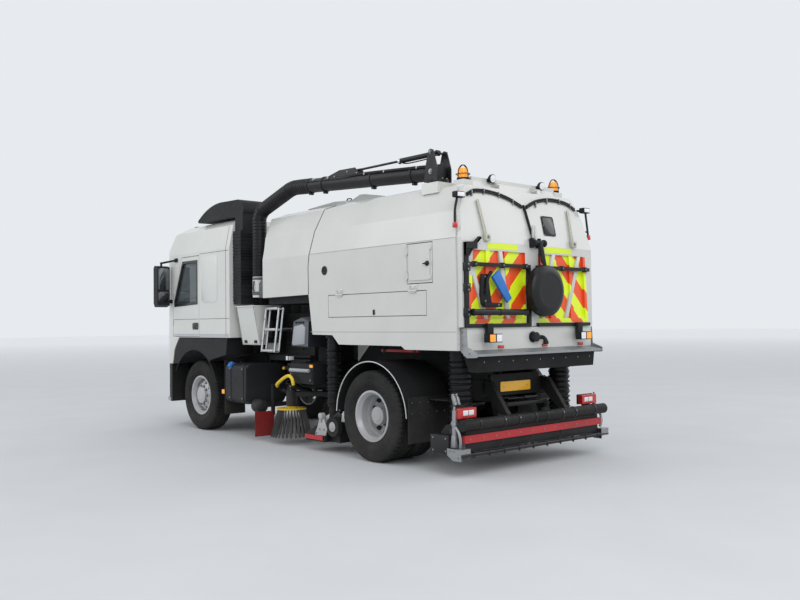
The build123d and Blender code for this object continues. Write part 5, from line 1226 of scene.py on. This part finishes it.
boxes = Piece("equipment_box_lids", "root", "plastic")
boxes.prism(rounded(2.38, 3.32, 0.56, 1.0, 0.03), "y", -1.19, -1.178, 0.004)
for s in (1, -1):
    boxes.use("plastic").prism(rounded(1.3, 1.76, 0.85, 1.03, 0.02), "y", s * 1.126, s * 1.137, 0.004)
    boxes.use("bolt").nuts([(x, s * 1.137, z) for x in (1.34, 1.72) for z in (0.88, 1.0)], s, 0.008, 0.006)
for x in (2.55, 3.15):
    boxes.box(x - 0.015, x + 0.015, -1.2, -1.186, 0.955, 1.015, 0.003)
handle = [(0, 0.018), (0.004, 0.024), (0.42, 0.024), (0.424, 0.016)]
boxes.use("pale_plastic").turned((1.335, 1.16, 1.003), "x", handle, 20)
for x in (1.39, 1.67):
    boxes.box(x, x + 0.03, 1.134, 1.16, 0.985, 1.021, 0.003)
boxes.done()

side = Piece("side_box_trim", "root", "seam")
for s in (1, -1):
    line = [(2.6, 1.2005, 1.858), (2.6, 1.0965, 1.33), (3.05, 1.0965, 1.33), (3.05, 1.2005, 1.858)]
    side.use("seam").tube([(x, s * y, z) for x, y, z in line], 0.0025, 6)
    side.use("white").box(2.585, 3.065, s * 0.745, s * 1.215, 1.858, 1.876, 0.006).use("plastic")
    for x in (2.66, 2.92):
        side.box(x, x + 0.06, s * 1.095, s * 1.118, 1.345, 1.385)
side.box(2.568, 2.592, 0.75, 0.985, 1.345, 1.835, 0.006)
bottle = [(0, 0.026), (0.004, 0.034), (0.2, 0.034), (0.22, 0.018), (0.25, 0.014)]
side.turned((2.545, 0.945, 1.42), "z", bottle, 24).use("white")
bottle = [(0, 0.022), (0.004, 0.028), (0.13, 0.028), (0.15, 0.012), (0.17, 0.012)]
side.turned((2.552, 1.035, 1.47), "z", bottle, 24).box(2.552, 2.6, 1.025, 1.045, 1.5, 1.52, 0.002).done()

paint("pump_cover", "tank", lambda x, y, z, n: n.x < -0.35 and y > 0.75)
# Inner part of the pump cover painted black: painted shade behind the rear mudguard
paint("pump_cover", "chassis", lambda x, y, z, n: y < 0.75)
paint("side_boxes", "chassis", lambda x, y, z, n: abs(y) < 0.72)
pump = Piece("pump_cover_trim", "root", "pale_plastic")
outline = [(1.49, 1.34), (1.47, 1.56), (1.53, 1.605), (1.725, 1.575), (1.776, 1.35), (1.735, 1.326)]
pump.prism(outline, "y", 1.1, 1.122, 0.01).use("plastic")
for x in (1.5, 1.555, 1.61, 1.665):
    pump.box(x, x + 0.03, 1.088, 1.124, 1.615, 1.64)
places = [(1.43, 1.106, 1.335), (1.76, 1.106, 1.345), (1.42, 1.106, 1.61)]
pump.use("bolt").nuts(places, "y", 0.008, 0.006).done()

ladder = Piece("ladder_treads", "root", "alloy")
for share in (0.02, 0.5, 0.98):
    y, z = 1.085 + 0.08 * share, 1.83 - 0.6 * share
    ladder.box(2.14, 2.43, y - 0.026, y + 0.024, z - 0.006, z + 0.02)
    for i in range(9):
        ladder.box(2.152 + i * 0.031, 2.164 + i * 0.031, y - 0.022, y + 0.02, z + 0.019, z + 0.024, 0.001)
places = [(x, y, z) for x in (2.125, 2.445) for y, z in ((1.12, 1.68), (1.16, 1.38))]
ladder.use("bolt").nuts(places, (0, 1, 0.13), 0.009, 0.006).done()

valves = Piece("valve_block", "root", "cast")
valves.box(2.06, 2.42, 0.6, 0.7, 0.9, 1.092, 0.008).box(1.6, 1.9, 0.56, 0.69, 1.0, 1.092, 0.008)
valves.box(2.1, 2.38, 0.7, 0.79, 0.93, 1.06, 0.01)
for x in (2.14, 2.24, 2.34):
    stem = [(0, 0.026), (0.05, 0.026), (0.054, 0.02), (0.085, 0.018), (0.088, 0.01)]
    valves.turned((x, 0.78, 0.995), "y", stem, 18)
valves.use("yellow")
for x in (2.14, 2.34):
    valves.turned((x, 0.862, 0.995), "y", [(0, 0.02), (0.02, 0.02), (0.024, 0.014)], 18)
valves.use("bolt")
for root, y, z, places in (
    (-0.03, 0.745, 0.905, (2.12, 2.2, 2.28, 2.36)),
    (-0.01, 0.66, 0.995, (1.66, 1.74, 1.82)),
):
    union = [(root, 0.014), (0, 0.014), (0.004, 0.018), (0.022, 0.018), (0.026, 0.012)]
    for x in places:
        valves.turned((x, y, z), "-z", union, 6)
valves.done()

lamp = Piece("side_work_lamp", "root", "plastic").box(1.985, 2.04, 0.94, 1.04, 1.112, 1.182, 0.008)
lamp.tube([(2.01, 0.98, 1.147), (1.98, 0.84, 1.135), (1.955, 0.69, 1.13)], 0.014, 10)
lamp.use("clear").box(1.98, 1.988, 0.948, 1.032, 1.12, 1.174, 0.003)
lamp.box(1.992, 2.033, 1.036, 1.044, 1.12, 1.174, 0.003).done()

# Rigid hydraulic pipes and looms clipped along the chassis
PIPES = (
    [(2.12, 0.745, 0.875), (2.1, 0.8, 0.8), (1.95, 0.72, 0.74), (1.72, 0.6, 0.76), (1.58, 0.5, 0.8),
     (1.56, 0.43, 0.82)],
    [(2.2, 0.745, 0.875), (2.18, 0.84, 0.78), (1.96, 0.78, 0.7), (1.7, 0.66, 0.72), (1.52, 0.5, 0.76),
     (1.5, 0.43, 0.8)],
    [(2.28, 0.745, 0.875), (2.3, 0.86, 0.8), (2.42, 0.74, 0.72), (2.5, 0.52, 0.74), (2.5, 0.43, 0.78)],
    [(2.36, 0.745, 0.875), (2.38, 0.9, 0.82), (2.45, 0.84, 0.68), (2.47, 0.6, 0.7), (2.46, 0.43, 0.75)],
    [(1.66, 0.66, 0.965), (1.62, 0.72, 0.9), (1.4, 0.66, 0.82), (1.24, 0.5, 0.8), (1.22, 0.43, 0.82)],
    [(1.82, 0.66, 0.965), (1.86, 0.76, 0.92), (1.88, 0.62, 0.8), (1.84, 0.5, 0.78), (1.82, 0.43, 0.8)],
    [(1.1, 0.43, 0.9), (0.8, 0.46, 0.94), (0.2, 0.45, 1.02), (-0.5, 0.45, 1.01), (-1.05, 0.44, 0.93)],
    [(1.1, 0.43, 0.87), (0.8, 0.48, 0.92), (0.2, 0.47, 1.0), (-0.5, 0.47, 0.99), (-1.05, 0.46, 0.9)],
)
pipes = Piece("chassis_lines", "root", "cable")
for line in PIPES:
    x, y, z = line[-1]
    pipes.use("cable").hose(line, 0.035, 0.0115)
    pipes.use("hinge").box(x - 0.022, x + 0.022, y - 0.012, y + 0.008, z - 0.022, z + 0.022, 0.003)
pipes.done()

# Broom: turned plate, bundles of bristles, and the hoses on its arm
BROOM_X = 2.0
BROOM_Y = 0.98
BRISTLES = 10


def on_broom(radius, turn, z):
    """Point of the broom at a radius, an angle and a height."""
    return (BROOM_X + radius * math.cos(turn), BROOM_Y + radius * math.sin(turn), z)


random.seed(7)
brush = Piece("broom_brush", "brush", "yellow").turned((BROOM_X, BROOM_Y, 0.455), "z", [
    (0.0, 0.196), (0.003, 0.2), (0.017, 0.2), (0.02, 0.197), (0.022, 0.15), (0.03, 0.08), (0.044, 0.06),
    (0.044, 0.02), (0.085, 0.02),
], 48)
brush.use("bolt").nuts(circle((BROOM_X, BROOM_Y, 0.48), 0.112, 8), "z", 0.009).use("bristle")
for row, (top, foot, count) in enumerate(((0.182, 0.279, 30), (0.152, 0.246, 26), (0.12, 0.208, 20))):
    for i in range(count):
        tuft = 2 * math.pi * (i + 0.5 * (row % 2)) / count + random.uniform(-0.012, 0.012)
        for _ in range(BRISTLES):
            turn = tuft + random.uniform(-0.03, 0.03)
            sweep = tuft + random.uniform(-0.062, 0.062)
            root = top + random.uniform(-0.007, 0.006)
            reach = min(0.2885, foot * random.uniform(0.965, 1.025))
            low = 0.0905 + random.uniform(0.0, 0.016)
            middle = on_broom(root + (reach - root) * 0.42, (turn + sweep) / 2, 0.29)
            bristle = [on_broom(root, turn, 0.458), middle, on_broom(reach, sweep, low)]
            brush.tube(bristle, [0.003, 0.003, 0.0022], 3)
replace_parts(brush.done(40), "broom")

arm = Piece("broom_arm_gear", "brush_arm", "cast")
motor = [(0, 0.071), (0.022, 0.071), (0.026, 0.056), (0.06, 0.054), (0.064, 0.04), (0.078, 0.038)]
arm.turned((BROOM_X, BROOM_Y, 0.7), "z", motor)
arm.box(1.955, 2.045, 0.915, 0.945, 0.56, 0.64, 0.006).box(1.7, 1.82, 0.728, 0.8, 0.688, 0.74, 0.008)
arm.use("bolt").nuts(circle((BROOM_X, BROOM_Y, 0.72), 0.062, 4, "z", 45), "z", 0.01, 0.009).use("zinc")
arm.turned((1.95, 1.02, 0.766), (-0.5, 0.6, 0.5), [(0, 0.018), (0.03, 0.018), (0.034, 0.012)], 6)
arm.tube([(1.66, 0.715, 0.71), (1.8, 0.84, 0.715), (1.93, 0.935, 0.712)], 0.01, 10).use("black")
ferrule = [(0, 0.026), (0.024, 0.026), (0.028, 0.029), (0.05, 0.029), (0.052, 0.024)]
arm.turned((2.036, 1.036, 0.702), (0.55, 0.75, 0.36), ferrule, 16).done()


def free_hose(name, finish, points, radius, sides=10, ribs=0.0, guard=None):
    """Hose lying free between two fittings, with its length worked out but not used; its guard covers part of
    the way.
    """
    line = eased(points, 0.018)
    piece = Piece(name, "brush_arm", finish)
    piece.tube(line, [radius - (ribs if i % 2 else 0.0) for i in range(len(line))], sides)
    if guard:
        piece.use("cable")
        piece.bm.faces.ensure_lookup_table()
        for number, face in enumerate(piece.bm.faces):
            if not guard[0] <= number / len(piece.bm.faces) <= guard[1]:
                face.material_index = piece.index
    obj = piece.done(60)
    length = sum((b - a).length for a, b in zip(line, line[1:]))
    placed = [(ax(p.x), p.y, p.z) for p in line]
    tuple(placed[0])


free_hose("broom_hose_guard", "yellow_hose", (
    (2.045, 1.046, 0.705), (2.085, 1.1, 0.735), (2.06, 1.17, 0.79), (1.95, 1.19, 0.848),
    (1.83, 1.19, 0.905), (1.735, 1.19, 0.925), (1.67, 1.19, 0.89), (1.652, 1.188, 0.835),
    (1.652, 1.16, 0.785), (1.662, 1.08, 0.755), (1.695, 0.96, 0.735), (1.765, 0.83, 0.712),
), 0.024, 14, 0.003, (0.13, 0.62))
free_hose("broom_hose_black", "cable", (
    (2.018, 0.998, 0.74), (2.03, 1.02, 0.79), (2.0, 1.055, 0.808), (1.93, 1.04, 0.79),
    (1.88, 0.96, 0.748), (1.845, 0.88, 0.705),
), 0.012)

# Side nozzle: wheel fork and hub, bolts, side plate and hose collars
nozzle = Piece("side_nozzle_gear", "root", "pale_cast")
fork = [
    (0.93, 0.215), (0.9, 0.3), (0.96, 0.42), (1.06, 0.42), (1.08, 0.33), (1.15, 0.235), (1.14, 0.205),
]
nozzle.prism(fork, "y", 1.188, 1.204, 0.006).collar((1.01, 1.165, 0.455), "y", 0.03, 0.064, 0.01, 0.004, 24)
nozzle.box(0.98, 1.045, 1.15, 1.2, 0.33, 0.45, 0.006)
places = [(0.955, 1.204, 0.29), (1.045, 1.204, 0.29), (1.12, 1.204, 0.235), (1.005, 1.204, 0.39)]
nozzle.use("bolt").nuts(places, "y", 0.01, 0.009)
wing = [(0.77, 0.3), (0.74, 0.48), (0.8, 0.52), (0.93, 0.44), (0.9, 0.3)]
nozzle.use("black").prism(wing, "y", 1.085, 1.097, 0.004)
nozzle.tube([(1.2, 0.905, 0.3), (1.12, 0.93, 0.5), (1.06, 0.95, 0.62)], 0.014, 10).use("hose")
nozzle.collar((1.0, 1.01, 0.335), "z", 0.085, 0.055, 0.007, 0.01)
nozzle.collar((1.0, 1.01, 1.425), "z", 0.095, 0.028, 0.005, 0.004).done()

hub = [(0, 0.058), (0.006, 0.062), (0.012, 0.058), (0.016, 0.03), (0.022, 0.026), (0.024, 0.014)]
Piece("castor_hub", "nozzle_castor", "pale_cast").turned((0.8, 1.188, 0.335), "y", hub).done()

# Painted areas of the solids, and the red prop under the body
paint("side_nozzle", "red_paint", lambda x, y, z, n: y > 1.2035)
paint("chassis_frame", "red_flap", lambda x, y, z, n: y > 0.935 and 2.49 < x < 2.51 and z < 0.41)
# Lower beams, undersides and front wall of the white hopper painted black: painted shade under the body
paint("hopper_shell", "chassis", lambda x, y, z, n: (
    z < 1.32 and abs(y) < 0.7 or z < 1.47 and n.z < -0.3 or z < 1.75 and n.x > 0.25 and abs(y) < 1.05))
# Underside of the white fan housing painted black: painted shade under the body
paint("fan_housing", "chassis", lambda x, y, z, n: z < 1.975 and abs(y) < 1.1)
paint("cab_shell", "gloss_black", lambda x, y, z, n: (
    x > 5.4 and abs(y) < 0.63 and 1.07 < z < 1.65 and abs(n.z) < 0.5 and x < nose_x(y) - 0.01))

prop = Piece("body_prop", "hopper", "red_paint").box(-0.45, 0.2, 0.86, 0.9, 1.262, 1.296, 0.005)
prop.use("black")
for x in (-0.4, 0.14):
    prop.box(x - 0.02, x + 0.02, 0.85, 0.91, 1.255, 1.3055)
prop.done()

# Cab inside: cushions and backs are moulded pads over the plain seats
for name, s in SIDES:
    y = s * 0.62
    pad = Piece(f"seat_cushion_{name}", "root", "seat_cloth")
    pad.box(4.0, 4.4, y - 0.24, y + 0.24, 1.772, 1.872, 0.035)
    for edge in (y - 0.235, y + 0.235):
        pad.box(4.02, 4.42, edge - 0.04, edge + 0.04, 1.79, 1.89, 0.03)
    pad.done(60)
    outline = [(4.1, 1.9), (4.14, 1.95), (4.015, 2.4), (3.965, 2.44), (3.925, 2.4), (4.01, 1.95)]
    back = Piece(f"seat_back_{name}", "root", "seat_cloth").prism(outline, "y", y - 0.23, y + 0.23, 0.03)
    back.done(60)


# Camera: the photograph's viewpoint, from its solved focal length, place and angles
CAMERA_PLACE = Vector((-9.579, 7.456, 1.61))
CAMERA_YAW = math.radians(-41.45)
CAMERA_PITCH = 0.0268
CAMERA_ROLL = 0.0117
CAMERA_LENS = 37.96


def add_camera():
    forward = Vector((
        math.cos(CAMERA_YAW) * math.cos(CAMERA_PITCH),
        math.sin(CAMERA_YAW) * math.cos(CAMERA_PITCH),
        math.sin(CAMERA_PITCH),
    ))
    right = forward.cross(Vector((0, 0, 1))).normalized()
    down = forward.cross(right)
    turned_right = right * math.cos(CAMERA_ROLL) + down * math.sin(CAMERA_ROLL)
    turned_down = down * math.cos(CAMERA_ROLL) - right * math.sin(CAMERA_ROLL)
    data = bpy.data.cameras.new("camera")
    data.lens = CAMERA_LENS
    data.sensor_width = 36.0
    data.clip_end = 200.0
    camera = bpy.data.objects.new("camera", data)
    axes = Matrix((turned_right, -turned_down, -forward)).transposed().to_4x4()
    camera.matrix_world = Matrix.Translation(CAMERA_PLACE) @ axes
    bpy.context.collection.objects.link(camera)
    bpy.context.scene.camera = camera


def add_stage():
    """Pale floor, plain light sky and two large soft lamps."""
    bpy.ops.mesh.primitive_plane_add(size=240.0, location=(0, 0, -0.001))
    floor = bpy.context.object
    floor.name = "floor"
    s = Surface("floor_grey", 0.85)
    near = s.mix(s.ramp(s.noise(0.8, 4.0), 0.3, 0.7), (0.56, 0.57, 0.58), (0.53, 0.54, 0.55))
    length = s.node("ShaderNodeVectorMath", {0: s.coords}, operation="LENGTH")
    s.colour(s.mix(s.ramp(length.outputs["Value"], 8.0, 70.0), near, (0.84, 0.85, 0.86)))
    floor.data.materials.append(s.material)

    world = bpy.data.worlds.new("world")
    bpy.context.scene.world = world
    world.use_nodes = True
    tree = world.node_tree
    tree.nodes.clear()
    mix = tree.nodes.new("ShaderNodeMixShader")
    for place, colour, strength in ((1, (0.93, 0.96, 1.0, 1.0), 0.95), (2, (0.8, 0.83, 0.86, 1.0), 1.0)):
        light = tree.nodes.new("ShaderNodeBackground")
        light.inputs["Color"].default_value = colour
        light.inputs["Strength"].default_value = strength
        tree.links.new(light.outputs[0], mix.inputs[place])
    rays = tree.nodes.new("ShaderNodeLightPath").outputs
    seen = rays["Is Camera Ray"]
    for ray in ("Is Glossy Ray", "Is Transmission Ray"):
        either = tree.nodes.new("ShaderNodeMath")
        either.operation = "MAXIMUM"
        tree.links.new(seen, either.inputs[0])
        tree.links.new(rays[ray], either.inputs[1])
        seen = either.outputs[0]
    tree.links.new(seen, mix.inputs[0])
    out = tree.nodes.new("ShaderNodeOutputWorld")
    tree.links.new(mix.outputs[0], out.inputs["Surface"])

    for name, place, size, energy in (
        ("key", (-12.0, 6.0, 9.0), 9.0, 520.0),
        ("fill", (6.0, 11.0, 8.0), 9.0, 300.0),
        ("back", (-8.0, -10.0, 9.0), 9.0, 250.0),
    ):
        data = bpy.data.lights.new(name, "AREA")
        data.shape = "DISK"
        data.size = size
        data.energy = energy
        lamp = bpy.data.objects.new(name, data)
        lamp.location = place
        aim = Vector((0, 0, 1.2)) - Vector(place)
        lamp.rotation_euler = aim.to_track_quat("-Z", "Y").to_euler()
        bpy.context.collection.objects.link(lamp)


add_camera()
add_stage()
bpy.context.scene.view_settings.view_transform = "Standard"
